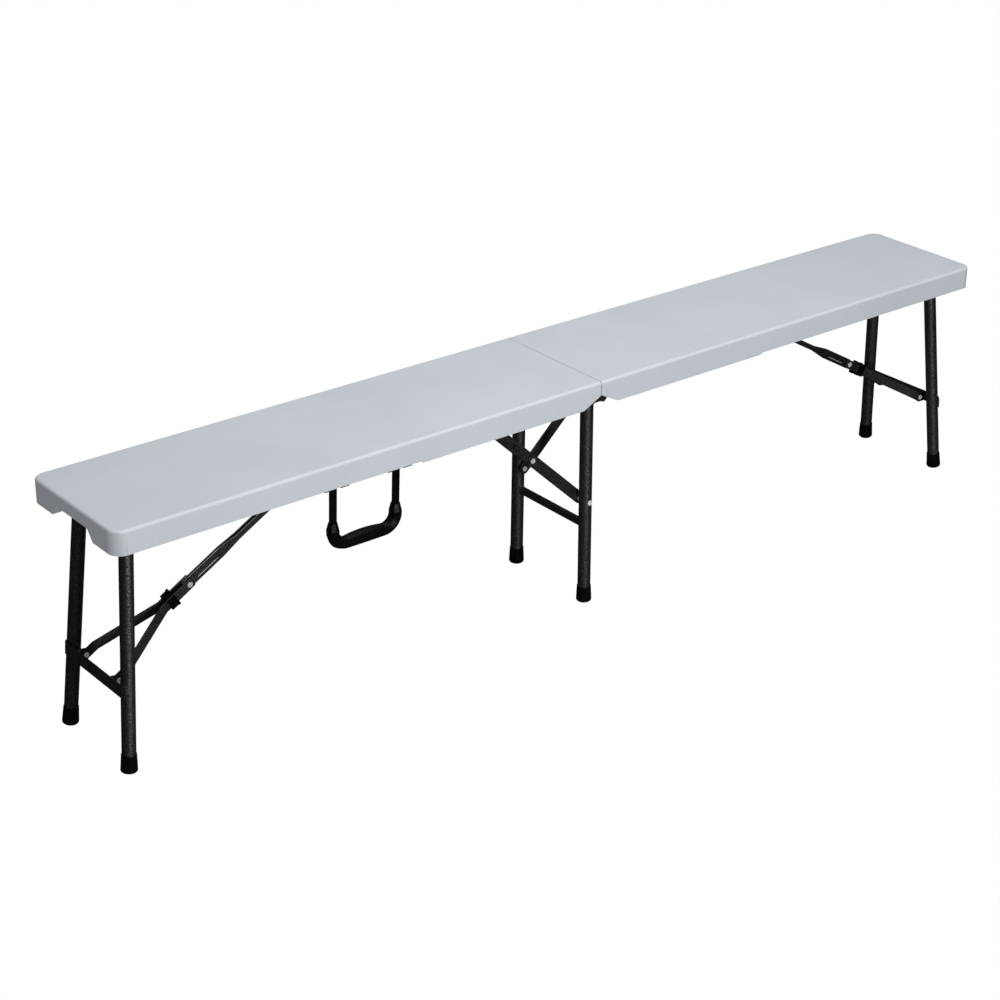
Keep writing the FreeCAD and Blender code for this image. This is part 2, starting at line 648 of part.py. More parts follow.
def make_leg_clip(side):
    """A pressed saddle under the roof that carries one end of the leg pivot tube."""
    y1 = side * (PIVOT_TUBE_HALF - CLIP_END_GAP)
    y0 = y1 - side * CLIP_WIDTH
    inner, outer = PIVOT_TUBE_R + RUN_FIT, PIVOT_TUBE_R + SHEET
    x, z = LEG_PIVOT_X, LEG_PIVOT_Z
    cup = joined(rod_y(x, z, outer, y0, y1), prism_xz([(x - outer, z), (x + outer, z), (x + outer, ROOF_Z),
                                                       (x - outer, ROOF_Z)], y0, y1))
    bore = joined(rod_y(x, z, inner, y0, y1), prism_xz([(x - inner, z), (x + inner, z), (x + inner, ROOF_Z + 1),
                                                        (x - inner, ROOF_Z + 1)], y0, y1))
    half = CLIP_HALF_LENGTH
    flange = prism_xz([(x - half, ROOF_Z - SHEET), (x + half, ROOF_Z - SHEET), (x + half, ROOF_Z),
                       (x - half, ROOF_Z)], y0, y1)
    clip = joined(cup, flange).cut(bore)
    for place in clip_screws(side):
        clip = clip.cut(screw_hole(*place))
    return clip


def center_leg_axis(side):
    return Vector(0, side * CENTER_FOOT_Y, 0), Vector(0, side * CENTER_TOP_Y, TOP_TUBE_Z)


def center_leg_y(height):
    return CENTER_FOOT_Y + (CENTER_TOP_Y - CENTER_FOOT_Y) * height / TOP_TUBE_Z


def make_center_leg(side):
    leg, cap = make_leg(*center_leg_axis(side))
    leg = fish_mouth(leg, 0, TOP_TUBE_Z, TOP_TUBE_R)
    return leg.cut(rod_y(0, STAY_FOOT_Z, RIVET_R, 0, side * WIDTH)), cap


def make_center_bar():
    """The oval bar between the two centre legs."""
    reach = (CENTER_BAR_HEIGHT - CENTER_BAR_THICK) / 2
    leg_y = center_leg_y(CENTER_BAR_Z)
    bar = slot_xz((0, CENTER_BAR_Z - reach), (0, CENTER_BAR_Z + reach), CENTER_BAR_THICK / 2, -leg_y, leg_y)
    for side in (-1, 1):
        foot, top = center_leg_axis(side)
        bar = bar.cut(Part.makeCylinder(LEG_R, (top - foot).Length, foot, top - foot))
    return bar


# End brace: two flat arms bent together, and the channel they hold
def make_arm(side):
    half = ARM_HEIGHT / 2
    end = ARM_LENGTH + ARM_PAST_KNEE
    plan = strip([(-half - 1, side * ARM_FOOT_Y), (ARM_BEND_START, side * ARM_FOOT_Y),
                  (ARM_BEND_END, side * ARM_KNEE_Y), (end, side * ARM_KNEE_Y)], FLAT_THICK)
    blank = prism_xy(plan, -half, half)
    cut = ARM_END_CHAMFER
    outline = slot_xz((0, 0), (ARM_LENGTH, 0), half, -HALF_WIDTH, HALF_WIDTH)
    square = prism_xz([(ARM_LENGTH / 2, -half), (end - cut, -half), (end, -half + cut), (end, half - cut),
                       (end - cut, half), (ARM_LENGTH / 2, half)], -HALF_WIDTH, HALF_WIDTH)
    arm = blank.common(joined(outline, square))
    arm = arm.cut(rod_y(0, 0, RIVET_R + RUN_FIT, -HALF_WIDTH, HALF_WIDTH))
    arm = arm.cut(rod_y(ARM_LENGTH, 0, RIVET_R, -HALF_WIDTH, HALF_WIDTH))
    return swung(arm, ARM_ANGLE, ARM_FOOT_X, ARM_FOOT_Z)


def make_knee_rivet(side):
    """The end of the knee rivet that stays with one arm."""
    inner, outer = ARM_KNEE_Y - FLAT_THICK / 2, ARM_KNEE_Y + FLAT_THICK / 2
    shank = rod_y(KNEE_X, KNEE_Z, RIVET_R, side * inner, side * outer)
    head = Part.makeCone(RIVET_HEAD_R, RIVET_HEAD_R * 0.6, RIVET_HEAD_THICK,
                         Vector(KNEE_X, side * outer, KNEE_Z), Vector(0, side, 0))
    return joined(shank, head)


def make_channel():
    """The upper link, open upwards: two walls bent apart past the middle and a floor between them."""
    tail, end = -CHANNEL_TAIL, CHANNEL_LENGTH + CHANNEL_TAIL
    deep, low = CHANNEL_HALF_DEPTH, CHANNEL_TOP_HALF_DEPTH
    narrow, wide = CHANNEL_HALF_WIDTH, CHANNEL_TOP_HALF_WIDTH
    b0, b1 = CHANNEL_BEND_START, CHANNEL_BEND_END
    side = prism_xz([
        (tail, -low), (0, -deep), (b0, -deep), (b1, -low), (end, -low),
        (end, low), (b1, low), (b0, deep), (0, deep), (tail, low),
    ], -HALF_WIDTH, HALF_WIDTH)
    walls = []
    for k in (-1, 1):
        plan = strip([(tail, k * (narrow - CHANNEL_WALL / 2)), (b0, k * (narrow - CHANNEL_WALL / 2)),
                      (b1, k * (wide - CHANNEL_WALL / 2)), (end, k * (wide - CHANNEL_WALL / 2))], CHANNEL_WALL)
        walls.append(side.common(prism_xy(plan, -deep, deep)))
    hull = prism_xy([(tail, -narrow), (b0, -narrow), (b1, -wide), (end, -wide),
                     (end, wide), (b1, wide), (b0, narrow), (tail, narrow)], -deep, deep)
    raised = side.copy()
    raised.translate(Vector(0, 0, CHANNEL_WALL))
    channel = joined(side.common(hull).cut(raised), *walls)
    for s, r in ((0, RIVET_R), (CHANNEL_HOLE_S, CHANNEL_HOLE_R), (CHANNEL_LENGTH, RIVET_R + RUN_FIT)):
        channel = channel.cut(rod_y(s, 0, r, -HALF_WIDTH, HALF_WIDTH))
    return swung(channel, CHANNEL_ANGLE, KNEE_X, KNEE_Z)


def make_brace_anchor():
    """The hanger under the roof that carries the channel's upper pin between two ears."""
    x, z = BRACE_TOP_X, BRACE_TOP_Z
    inner = CHANNEL_TOP_HALF_WIDTH + SIDE_GAP
    back, front, foot = x - BRACE_FLANGE_BACK, x + BRACE_FLANGE_FRONT, BRACE_EAR_FOOT
    anchor = prism_xz([(back, ROOF_Z - SHEET), (front, ROOF_Z - SHEET), (front, ROOF_Z), (back, ROOF_Z)],
                      -inner - SHEET, inner + SHEET)
    for side in (-1, 1):
        y0, y1 = side * inner, side * (inner + SHEET)
        ear = joined(rod_y(x, z, BRACE_EAR_R, y0, y1),
                     prism_xz([(x - foot, ROOF_Z), (x - BRACE_EAR_R, z), (x + BRACE_EAR_R, z),
                               (x + foot, ROOF_Z)], y0, y1))
        anchor = anchor.fuse(ear)
    anchor = anchor.removeSplitter().cut(rod_y(x, z, RIVET_R, -HALF_WIDTH, HALF_WIDTH))
    for place in brace_anchor_screws():
        anchor = anchor.cut(screw_hole(*place))
    return anchor


def make_lock(side):
    """One collar of the sliding lock, round one arm, with a low rim at the end by the knee."""
    start = ARM_LENGTH - LOCK_FROM_KNEE - LOCK_LENGTH / 2
    arm_in, arm_out = ARM_KNEE_Y - FLAT_THICK / 2, ARM_KNEE_Y + FLAT_THICK / 2
    hole_half = ARM_HEIGHT / 2 + SIDE_GAP
    outer_half = hole_half + LOCK_WALL
    y_in, y_out = arm_in - SIDE_GAP - LOCK_INNER_WALL, arm_out + SIDE_GAP + LOCK_SIDE_WALL

    def block(s0, s1, grow):
        corner = Vector(s0, y_in, -outer_half - grow)
        box = Part.makeBox(s1 - s0, y_out + grow - y_in, 2 * (outer_half + grow), corner)
        outside = [e for e in box.Edges if e.BoundBox.XLength > (s1 - s0) / 2 and e.BoundBox.YMin > y_in + 1]
        return box.makeFillet(LOCK_ROUND, outside)

    end = start + LOCK_LENGTH
    body = joined(block(start, end, 0), block(end - LOCK_RIM_LENGTH, end, LOCK_RIM))
    hole = Part.makeBox(LOCK_LENGTH + 2, arm_out - arm_in + 2 * SIDE_GAP, 2 * hole_half,
                        Vector(start - 1, arm_in - SIDE_GAP, -hole_half))
    collar = body.cut(hole)
    if side < 0:
        collar = mirrored_y(collar)
    return swung(collar, ARM_ANGLE, ARM_FOOT_X, ARM_FOOT_Z)


# Centre stay: a flat bar on the near leg and a channel up to the left half
def make_stay_bar():
    outer = STAY_BAR_OUTER_Y
    bar = slot_xz((0, STAY_FOOT_Z), (STAY_KNEE_X, STAY_KNEE_Z), STAY_BAR_HEIGHT / 2, -outer, -outer + FLAT_THICK)
    bar = bar.cut(rod_y(0, STAY_FOOT_Z, RIVET_R + RUN_FIT, -HALF_WIDTH, 0))
    return bar.cut(rod_y(STAY_KNEE_X, STAY_KNEE_Z, RIVET_R, -HALF_WIDTH, 0))


def make_stay_knee(on_bar):
    """The head and shank of the stay's knee rivet that stay with the bar, or with the channel."""
    outer = STAY_BAR_OUTER_Y
    if on_bar:
        y0, y1, out = -outer, -outer + FLAT_THICK, Vector(0, -1, 0)
    else:
        y0, y1, out = -WEB_INNER_Y, -WEB_OUTER_Y, Vector(0, 1, 0)
    shank = rod_y(STAY_KNEE_X, STAY_KNEE_Z, RIVET_R, y0, y1)
    head = Part.makeCone(RIVET_HEAD_R, RIVET_HEAD_R * 0.6, STAY_HEAD_THICK, Vector(STAY_KNEE_X, y0, STAY_KNEE_Z), out)
    return joined(shank, head)


def make_stay_rivet():
    """The rivet through the centre leg, with a collar that keeps the bar off the tube."""
    leg_y = center_leg_y(STAY_FOOT_Z)
    outer = STAY_BAR_OUTER_Y
    inner_head = -(outer - FLAT_THICK - SIDE_GAP)
    leg_skin = -leg_y - LEG_R - SIDE_GAP
    shank = rod_y(0, STAY_FOOT_Z, RIVET_R, leg_skin, inner_head)
    collar = rod_y(0, STAY_FOOT_Z, STAY_COLLAR_R, -leg_y + LEG_R / 2, -outer - SIDE_GAP)
    foot, top = center_leg_axis(-1)
    collar = collar.cut(Part.makeCylinder(LEG_R, (top - foot).Length, foot, top - foot))
    tail = Part.makeCone(RIVET_HEAD_R, RIVET_HEAD_R * 0.6, STAY_PIN_HEAD_THICK, Vector(0, inner_head, STAY_FOOT_Z),
                         ACROSS)
    head = Part.makeCone(RIVET_HEAD_R, RIVET_HEAD_R * 0.6, RIVET_HEAD_THICK, Vector(0, leg_skin, STAY_FOOT_Z),
                         Vector(0, -1, 0))
    return joined(shank, collar, tail, head)


def make_stay_channel():
    """The upper link: a web beside the bar, flanged inwards, flat again at its upper pin."""
    length = STAY_CHANNEL_LENGTH
    half = STAY_BAR_HEIGHT / 2 - SIDE_GAP
    web = slot_xz((0, 0), (length, 0), half, -WEB_OUTER_Y, -WEB_INNER_Y)
    edge_in = -WEB_INNER_Y + STAY_FLANGE_DEPTH
    s0, s1 = STAY_FLANGE_INSETS[0], length - STAY_FLANGE_INSETS[1]
    flanges = [
        prism_xz([(s0, t0), (s1, t0), (s1, t1), (s0, t1)], -WEB_OUTER_Y, edge_in)
        for t0, t1 in ((-half, -half + STAY_SHEET), (half - STAY_SHEET, half))
    ]
    link = joined(web, *flanges)
    for s, r in ((0, RIVET_R), (STAY_HOLE_S, STAY_HOLE_R), (length, RIVET_R + RUN_FIT)):
        link = link.cut(rod_y(s, 0, r, -HALF_WIDTH, 0))
    return swung(link, STAY_CHANNEL_ANGLE, STAY_KNEE_X, STAY_KNEE_Z)


def make_stay_anchor():
    """The angle bracket under the roof that carries the stay's upper pin."""
    x, z = STAY_TOP_X, STAY_TOP_Z
    y1 = -(WEB_INNER_Y - SIDE_GAP)
    y0 = y1 + FLAT_THICK
    foot = STAY_EAR_FOOT
    ear = joined(rod_y(x, z, STAY_EAR_R, y1, y0),
                 prism_xz([(x - foot, ROOF_Z), (x - STAY_EAR_R, z), (x + STAY_EAR_R, z),
                           (x + foot, ROOF_Z)], y1, y0))
    flange = Part.makeBox(2 * foot, STAY_ANCHOR_WIDTH, SHEET, Vector(x - foot, y1, ROOF_Z - SHEET))
    anchor = joined(ear, flange).cut(rod_y(x, z, RIVET_R, -HALF_WIDTH, 0))
    for place in stay_anchor_screws():
        anchor = anchor.cut(screw_hole(*place))
    return anchor


def make_anchor_pins():
    ear_out = CHANNEL_TOP_HALF_WIDTH + SIDE_GAP + SHEET
    brace = rivet(BRACE_TOP_X, BRACE_TOP_Z, -ear_out, ear_out)
    ear_in = -(WEB_INNER_Y - SIDE_GAP - FLAT_THICK)
    stay = rivet(STAY_TOP_X, STAY_TOP_Z, -WEB_OUTER_Y - SIDE_GAP, ear_in, head=STAY_PIN_HEAD_R,
                 thick=STAY_PIN_HEAD_THICK)
    return brace, stay


# Carry handle: two flat arms on short axles, a moulded grip, and the plates that hold the axles
def handle_grooves():
    """Half-round seats in the skirt's underside for the axles."""
    seats = []
    for x in handle_arm_x():
        start = Vector(x - HANDLE_AXLE_LENGTH / 2 - SIDE_GAP, HANDLE_AXLE_Y, handle_axle_z())
        seats.append(Part.makeCylinder(HANDLE_AXLE_R + SIDE_GAP, HANDLE_AXLE_LENGTH + 2 * SIDE_GAP, start,
                                       Vector(1, 0, 0)))
    return seats


def handle_axle_z():
    return END_SKIRT_Z - SIDE_GAP


def hung(shape):
    """Lets a piece of the handle hang at rest, its weight swinging it a little way in."""
    shape.rotate(Vector(0, HANDLE_AXLE_Y, handle_axle_z()), Vector(1, 0, 0), HANDLE_HANG)
    return shape


def make_handle_arm(x):
    """A flat arm hanging from its axle; its outer face passes through the axle's centre."""
    z = handle_axle_z()
    half = HANDLE_ARM_WIDTH / 2
    axle = Part.makeCylinder(HANDLE_AXLE_R, HANDLE_AXLE_LENGTH, Vector(x - HANDLE_AXLE_LENGTH / 2, HANDLE_AXLE_Y, z),
                             Vector(1, 0, 0))
    blade = Part.makeBox(2 * half, HANDLE_ARM_THICK, z - GRIP_TOP_Z, Vector(x - half, HANDLE_AXLE_Y, GRIP_TOP_Z))
    return hung(joined(blade, axle))


def eight_sides(center, radius, first, second):
    """An eight-sided outline about a centre, in the plane of two unit directions."""
    loop = []
    for i in range(8):
        angle = math.radians(45 * i)
        loop.append(center + first * (radius * math.cos(angle)) + second * (radius * math.sin(angle)))
    return Part.makePolygon(loop + loop[:1])


def make_grip():
    """A U of eight-sided section swept round the two lower corners, tapered at its upper ends and
    swelling under the fingers."""
    y = HANDLE_AXLE_Y + HANDLE_ARM_THICK / 2
    x0, x1 = handle_arm_x()
    r, low, high = GRIP_CORNER_R, GRIP_BOTTOM_Z, GRIP_TOP_Z - GRIP_END_TAPER
    bend = r * (1 - math.sin(math.pi / 4))
    path = Part.Wire([
        Part.makeLine(Vector(x0, y, high), Vector(x0, y, low + r)),
        Part.Arc(Vector(x0, y, low + r), Vector(x0 + bend, y, low + bend), Vector(x0 + r, y, low)).toShape(),
        Part.makeLine(Vector(x0 + r, y, low), Vector(x1 - r, y, low)),
        Part.Arc(Vector(x1 - r, y, low), Vector(x1 - bend, y, low + bend), Vector(x1, y, low + r)).toShape(),
        Part.makeLine(Vector(x1, y, low + r), Vector(x1, y, high)),
    ])
    along = Vector(1, 0, 0)
    bow = path.makePipeShell([eight_sides(Vector(x0, y, high), GRIP_R, along, ACROSS)], True, False, 2)
    tips = []
    for x in (x0, x1):
        wide = eight_sides(Vector(x, y, high), GRIP_R, along, ACROSS)
        slim = eight_sides(Vector(x, y, GRIP_TOP_Z), GRIP_END_R, along, ACROSS)
        tips.append(Part.makeLoft([wide, slim], True, True))
    middle = Vector((x0 + x1) / 2, y, low + GRIP_SWELL)
    swell = Part.makeLoft([
        eight_sides(Vector(x0 + r, y, low), GRIP_R, UP, ACROSS),
        eight_sides(middle, GRIP_R + GRIP_SWELL, UP, ACROSS),
        eight_sides(Vector(x1 - r, y, low), GRIP_R, UP, ACROSS),
    ], True, False)
    return hung(joined(bow, swell, *tips))


def make_retainer(x):
    """A thin plate under the skirt with a pressed half-round over each end of the axle."""
    z1 = END_SKIRT_Z
    z0 = z1 - RETAINER_SHEET
    y0 = RETAINER_EDGE_GAP - HALF_WIDTH
    half = RETAINER_LENGTH / 2
    slot_half = HANDLE_ARM_WIDTH / 2 + 2 * SIDE_GAP
    plate = Part.makeBox(2 * half, RETAINER_WIDTH, RETAINER_SHEET, Vector(x - half, y0, z0))
    span = HANDLE_AXLE_LENGTH + 2 * SIDE_GAP
    start = Vector(x - span / 2, HANDLE_AXLE_Y, handle_axle_z())
    bulge = Part.makeCylinder(HANDLE_AXLE_R + SIDE_GAP + RETAINER_SHEET, span, start, Vector(1, 0, 0))
    bulge = bulge.common(Part.makeBox(2 * half, RETAINER_WIDTH, 10, Vector(x - half, y0, z1 - 10)))
    seat = Part.makeCylinder(HANDLE_AXLE_R + SIDE_GAP, span, start, Vector(1, 0, 0))
    mouth = Part.makeBox(2 * slot_half, RETAINER_WIDTH, 20, Vector(x - slot_half, y0 - 2, z1 - 15))
    plate = joined(plate, bulge).cut(seat).cut(mouth)
    for place in retainer_screws():
        plate = plate.cut(screw_hole(*place))
    return plate


# Put the pieces together, node by node
def build_center_frame():
    near, near_cap = make_center_leg(-1)
    far, far_cap = make_center_leg(1)
    keep("center_leg_near", near)
    keep("center_leg_far", far)
    keep("center_foot_caps", near_cap, far_cap)
    ends = Vector(0, -LINK_INNER_Y, TOP_TUBE_Z), Vector(0, LINK_INNER_Y, TOP_TUBE_Z)
    keep("center_top_tube", tube(*ends, TOP_TUBE_R, LEG_WALL))
    keep("center_crossbar", make_center_bar())
    keep("hinge_links", make_hinge_link(-1), make_hinge_link(1))
    keep("hinge_pins", *[make_hinge_pin(x, side) for x in (-HINGE_X, HINGE_X) for side in (-1, 1)])
    stay_rivet = make_stay_rivet()
    keep("stay_leg_rivets", stay_rivet, turned(stay_rivet))


def left_half_nodes():
    """Everything that exists once on each half, drawn for the left one."""
    near_leg, near_cap = make_end_leg(-1)
    far_leg, far_cap = make_end_leg(1)
    tube_ends = [Vector(LEG_PIVOT_X, y, LEG_PIVOT_Z) for y in (-PIVOT_TUBE_HALF, PIVOT_TUBE_HALF)]
    return {
        "hinge_brackets": [make_hinge_ear(-1), make_hinge_ear(1)],
        "leg_clips": [make_leg_clip(-1), make_leg_clip(1)],
        "brace_anchor": [make_brace_anchor()],
        "stay_anchor": [make_stay_anchor()],
        "anchor_pins": list(make_anchor_pins()),
        "bracket_screws": [screw(*place) for place in roof_screws()],
        "leg_near": [near_leg],
        "leg_far": [far_leg],
        "leg_pivot_tube": [tube(*tube_ends, PIVOT_TUBE_R, LEG_WALL)],
        "leg_crossbar": [make_leg_bar()],
        "brace_lugs": [make_lug(-1), make_lug(1)],
        "lug_rivets": [make_lug_rivet(-1), make_lug_rivet(1)],
        "foot_caps": [near_cap, far_cap],
        "brace_arm_near": [make_arm(-1)],
        "brace_arm_far": [make_arm(1)],
        "knee_rivets": [make_knee_rivet(-1), make_knee_rivet(1)],
        "brace_channel": [make_channel()],
        "knee_pin": [rod_y(KNEE_X, KNEE_Z, RIVET_R, -CHANNEL_HALF_WIDTH, CHANNEL_HALF_WIDTH)],
        "lock_collars": [make_lock(-1), make_lock(1)],
        "stay_bar": [make_stay_bar()],
        "stay_bar_rivet": [make_stay_knee(True)],
        "stay_channel": [make_stay_channel()],
        "stay_channel_rivet": [make_stay_knee(False)],
    }


def build_halves():
    swap = {"leg_near": "leg_far", "leg_far": "leg_near", "brace_arm_near": "brace_arm_far",
            "brace_arm_far": "brace_arm_near"}
    for name, solids in left_half_nodes().items():
        keep("left_" + name, *solids)
        keep("right_" + swap.get(name, name), *[turned(s) for s in solids])
    keep("left_top", make_top(True))
    keep("right_top", turned(make_top(False)))
    keep("handle_retainers", *[make_retainer(x) for x in handle_arm_x()])
    keep("left_bracket_screws", *[screw(*place) for place in retainer_screws()])
    keep("handle_arms", *[make_handle_arm(x) for x in handle_arm_x()])
    keep("handle_grip", make_grip())


build_center_frame()
build_halves()
for node, solids in NODES.items():
    shape = solids[0] if len(solids) == 1 else Part.makeCompound(solids)
    shape.exportStep("parts/" + node + ".step")
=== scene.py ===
import json
import math

import bmesh
import bpy
from mathutils import Matrix, Vector


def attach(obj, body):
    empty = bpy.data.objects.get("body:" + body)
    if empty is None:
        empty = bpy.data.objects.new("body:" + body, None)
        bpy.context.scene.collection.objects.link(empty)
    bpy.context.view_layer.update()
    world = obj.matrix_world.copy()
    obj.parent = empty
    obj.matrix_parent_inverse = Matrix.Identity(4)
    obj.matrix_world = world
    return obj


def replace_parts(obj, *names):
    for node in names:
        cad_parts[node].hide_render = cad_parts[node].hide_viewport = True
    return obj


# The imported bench: every steel, plastic and zinc piece comes from it already in place, in metres,
# with the floor at z = 0, the seam at x = 0 and the carry handle on the near side at y < 0.
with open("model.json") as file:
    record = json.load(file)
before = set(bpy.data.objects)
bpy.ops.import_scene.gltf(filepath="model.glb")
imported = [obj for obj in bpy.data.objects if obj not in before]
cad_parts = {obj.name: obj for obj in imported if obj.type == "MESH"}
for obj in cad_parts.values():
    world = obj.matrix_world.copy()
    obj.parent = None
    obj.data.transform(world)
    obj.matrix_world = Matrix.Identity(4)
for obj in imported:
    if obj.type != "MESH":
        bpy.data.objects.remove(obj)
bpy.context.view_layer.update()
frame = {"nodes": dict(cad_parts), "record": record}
scene = bpy.context.scene
SIDES = ("left_", "right_")


def place_object(name, data):
    """A new object in the scene."""
    thing = bpy.data.objects.new(name, data)
    scene.collection.objects.link(thing)
    return thing


# Camera. It stands in front of the left end, a little above seat height, turned towards the far
# right leg. The numbers come from solving the photograph's view of the seat corners and the feet.
CAMERA_PLACE = Vector((-2.2986, -2.7282, 1.8732))
CAMERA_YAW = math.radians(38.700)
CAMERA_PITCH = math.radians(25.709)
CAMERA_ROLL = math.radians(0.418)
CAMERA_LENS = 82.25
CAMERA_SENSOR = 36
CAMERA_REACH = 50

forward = Vector((
    math.sin(CAMERA_YAW) * math.cos(CAMERA_PITCH),
    math.cos(CAMERA_YAW) * math.cos(CAMERA_PITCH),
    -math.sin(CAMERA_PITCH),
))
level_right = Vector((math.cos(CAMERA_YAW), -math.sin(CAMERA_YAW), 0))
level_up = level_right.cross(forward)
right = level_right * math.cos(CAMERA_ROLL) + level_up * math.sin(CAMERA_ROLL)
up = level_up * math.cos(CAMERA_ROLL) - level_right * math.sin(CAMERA_ROLL)
camera_data = bpy.data.cameras.new("photo_camera")
camera_data.sensor_width = CAMERA_SENSOR
camera_data.lens = CAMERA_LENS
camera_data.clip_end = CAMERA_REACH
camera = place_object("photo_camera", camera_data)
turn = Matrix((right, up, -forward)).transposed().to_4x4()
camera.matrix_world = Matrix.Translation(CAMERA_PLACE) @ turn
scene.camera = camera


# Studio. One large soft lamp above, a narrow one low in front that draws the streak down each tube, a pale
# room that is white to the lens, and a floor that bounces light but is clear to the lens and from below.
# Paint and plating mirror both dim, as between a photographer's black screens.
SCREEN_DIM = 0.022
FLOOR_HALF = 12.0
FLOOR_GREY = 0.62
ROOM_COLOUR = (0.98, 0.99, 1.0)
ROOM_STRENGTH = 0.30
WHITE_STRENGTH = 1.0


def shader_switch(tree, factor, usual, special):
    """One shader where a factor is 0, another where it is 1."""
    mix = tree.nodes.new("ShaderNodeMixShader")
    tree.links.new(factor, mix.inputs[0])
    tree.links.new(usual, mix.inputs[1])
    tree.links.new(special, mix.inputs[2])
    return mix.outputs[0]


def glow(tree, strength):
    """A plain white emitting shader."""
    node = tree.nodes.new("ShaderNodeEmission")
    node.inputs["Color"].default_value = (1, 1, 1, 1)
    node.inputs["Strength"].default_value = strength
    return node.outputs[0]


def dim_to_mirrors(tree, rays, lit):
    """A lit shader that paint and plating mirror as a dim screen."""
    return shader_switch(tree, rays.outputs["Is Glossy Ray"], lit, glow(tree, SCREEN_DIM))


floor_mesh = bpy.data.meshes.new("studio_floor")
floor_corners = [(x * FLOOR_HALF, y * FLOOR_HALF, 0) for x, y in ((-1, -1), (1, -1), (1, 1), (-1, 1))]
floor_mesh.from_pydata(floor_corners, [], [(0, 1, 2, 3)])
floor = place_object("studio_floor", floor_mesh)
floor_paint = bpy.data.materials.new("pale_floor")
floor_paint.use_nodes = True
floor_tree = floor_paint.node_tree
floor_tree.nodes.clear()
floor_matte = floor_tree.nodes.new("ShaderNodeBsdfDiffuse")
floor_matte.inputs["Color"].default_value = (FLOOR_GREY, FLOOR_GREY, FLOOR_GREY, 1)
floor_clear = floor_tree.nodes.new("ShaderNodeBsdfTransparent")
floor_rays = floor_tree.nodes.new("ShaderNodeLightPath")
floor_side = floor_tree.nodes.new("ShaderNodeNewGeometry")
lens_or_below = floor_tree.nodes.new("ShaderNodeMath")
lens_or_below.operation = "MAXIMUM"
floor_tree.links.new(floor_rays.outputs["Is Camera Ray"], lens_or_below.inputs[0])
floor_tree.links.new(floor_side.outputs["Backfacing"], lens_or_below.inputs[1])
floor_seen = shader_switch(floor_tree, lens_or_below.outputs[0],
                           dim_to_mirrors(floor_tree, floor_rays, floor_matte.outputs[0]),
                           floor_clear.outputs[0])
floor_out = floor_tree.nodes.new("ShaderNodeOutputMaterial")
floor_tree.links.new(floor_seen, floor_out.inputs["Surface"])
floor.data.materials.append(floor_paint)

world = bpy.data.worlds.new("pale_room")
scene.world = world
world.use_nodes = True
world_tree = world.node_tree
world_tree.nodes.clear()
room = world_tree.nodes.new("ShaderNodeBackground")
room.inputs["Color"].default_value = (*ROOM_COLOUR, 1)
room.inputs["Strength"].default_value = ROOM_STRENGTH
room_rays = world_tree.nodes.new("ShaderNodeLightPath")
room_seen = shader_switch(world_tree, room_rays.outputs["Is Camera Ray"],
                          dim_to_mirrors(world_tree, room_rays, room.outputs[0]),
                          glow(world_tree, WHITE_STRENGTH))
room_out = world_tree.nodes.new("ShaderNodeOutputWorld")
world_tree.links.new(room_seen, room_out.inputs["Surface"])


def soft_lamp(name, place, aim, width, height, power):
    """A rectangular lamp at a place, turned to face a point."""
    data = bpy.data.lights.new(name, "AREA")
    data.shape = "RECTANGLE"
    data.size = width
    data.size_y = height
    data.energy = power
    facing = (Vector(aim) - Vector(place)).to_track_quat("-Z", "Y")
    lamp = place_object(name, data)
    lamp.matrix_world = Matrix.Translation(place) @ facing.to_matrix().to_4x4()


soft_lamp("key_lamp", place=(0.05, -0.80, 2.85), aim=(0.05, 0, 0.35), width=1.8, height=1.2, power=57)
soft_lamp("streak_strip", place=(-0.90, -3.35, 0.80), aim=(-0.1, 0, 0.25), width=0.30, height=1.1, power=38)
scene.view_settings.view_transform = "Standard"


# Finishes. Each is a Principled material whose colour, roughness and relief follow the masks of a
# node group, read in the bench's own metres, so that the texture never stretches.
EVEN_RAMP = (0.3, 0.7)


def start_material(name):
    """A material with an empty Principled shader wired to its output."""
    material = bpy.data.materials.new(name)
    material.use_nodes = True
    tree = material.node_tree
    return material, tree, tree.nodes["Principled BSDF"]


def start_group(name, inputs, outputs):
    """A shader node group with the named number inputs (and their defaults) and outputs."""
    group = bpy.data.node_groups.new(name, "ShaderNodeTree")
    for label, value in inputs:
        socket = group.interface.new_socket(label, in_out="INPUT", socket_type="NodeSocketFloat")
        socket.default_value = value
    for label in outputs:
        group.interface.new_socket(label, in_out="OUTPUT", socket_type="NodeSocketFloat")
    return group, group.nodes.new("NodeGroupInput"), group.nodes.new("NodeGroupOutput")


def place_group(tree, group, **values):
    """Puts a node group into a material with its own values."""
    node = tree.nodes.new("ShaderNodeGroup")
    node.node_tree = group
    for label, value in values.items():
        node.inputs[label.replace("_", " ")].default_value = value
    return node


def colour_between(tree, factor, low, high, low_at, high_at):
    """A colour ramp between two colours, driven by a mask."""
    ramp = tree.nodes.new("ShaderNodeValToRGB")
    ramp.color_ramp.elements[0].position = low_at
    ramp.color_ramp.elements[0].color = (*low, 1)
    ramp.color_ramp.elements[1].position = high_at
    ramp.color_ramp.elements[1].color = (*high, 1)
    tree.links.new(factor, ramp.inputs["Fac"])
    return ramp.outputs["Color"]


def number_between(tree, factor, low, high):
    """Maps a 0 to 1 mask to a range."""
    node = tree.nodes.new("ShaderNodeMapRange")
    node.inputs["To Min"].default_value = low
    node.inputs["To Max"].default_value = high
    tree.links.new(factor, node.inputs["Value"])
    return node.outputs["Result"]


def bump_from(tree, shader, height, distance, strength):
    """Fine relief on a shader from a height mask."""
    node = tree.nodes.new("ShaderNodeBump")
    node.inputs["Distance"].default_value = distance
    node.inputs["Strength"].default_value = strength
    tree.links.new(height, node.inputs["Height"])
    tree.links.new(node.outputs["Normal"], shader.inputs["Normal"])


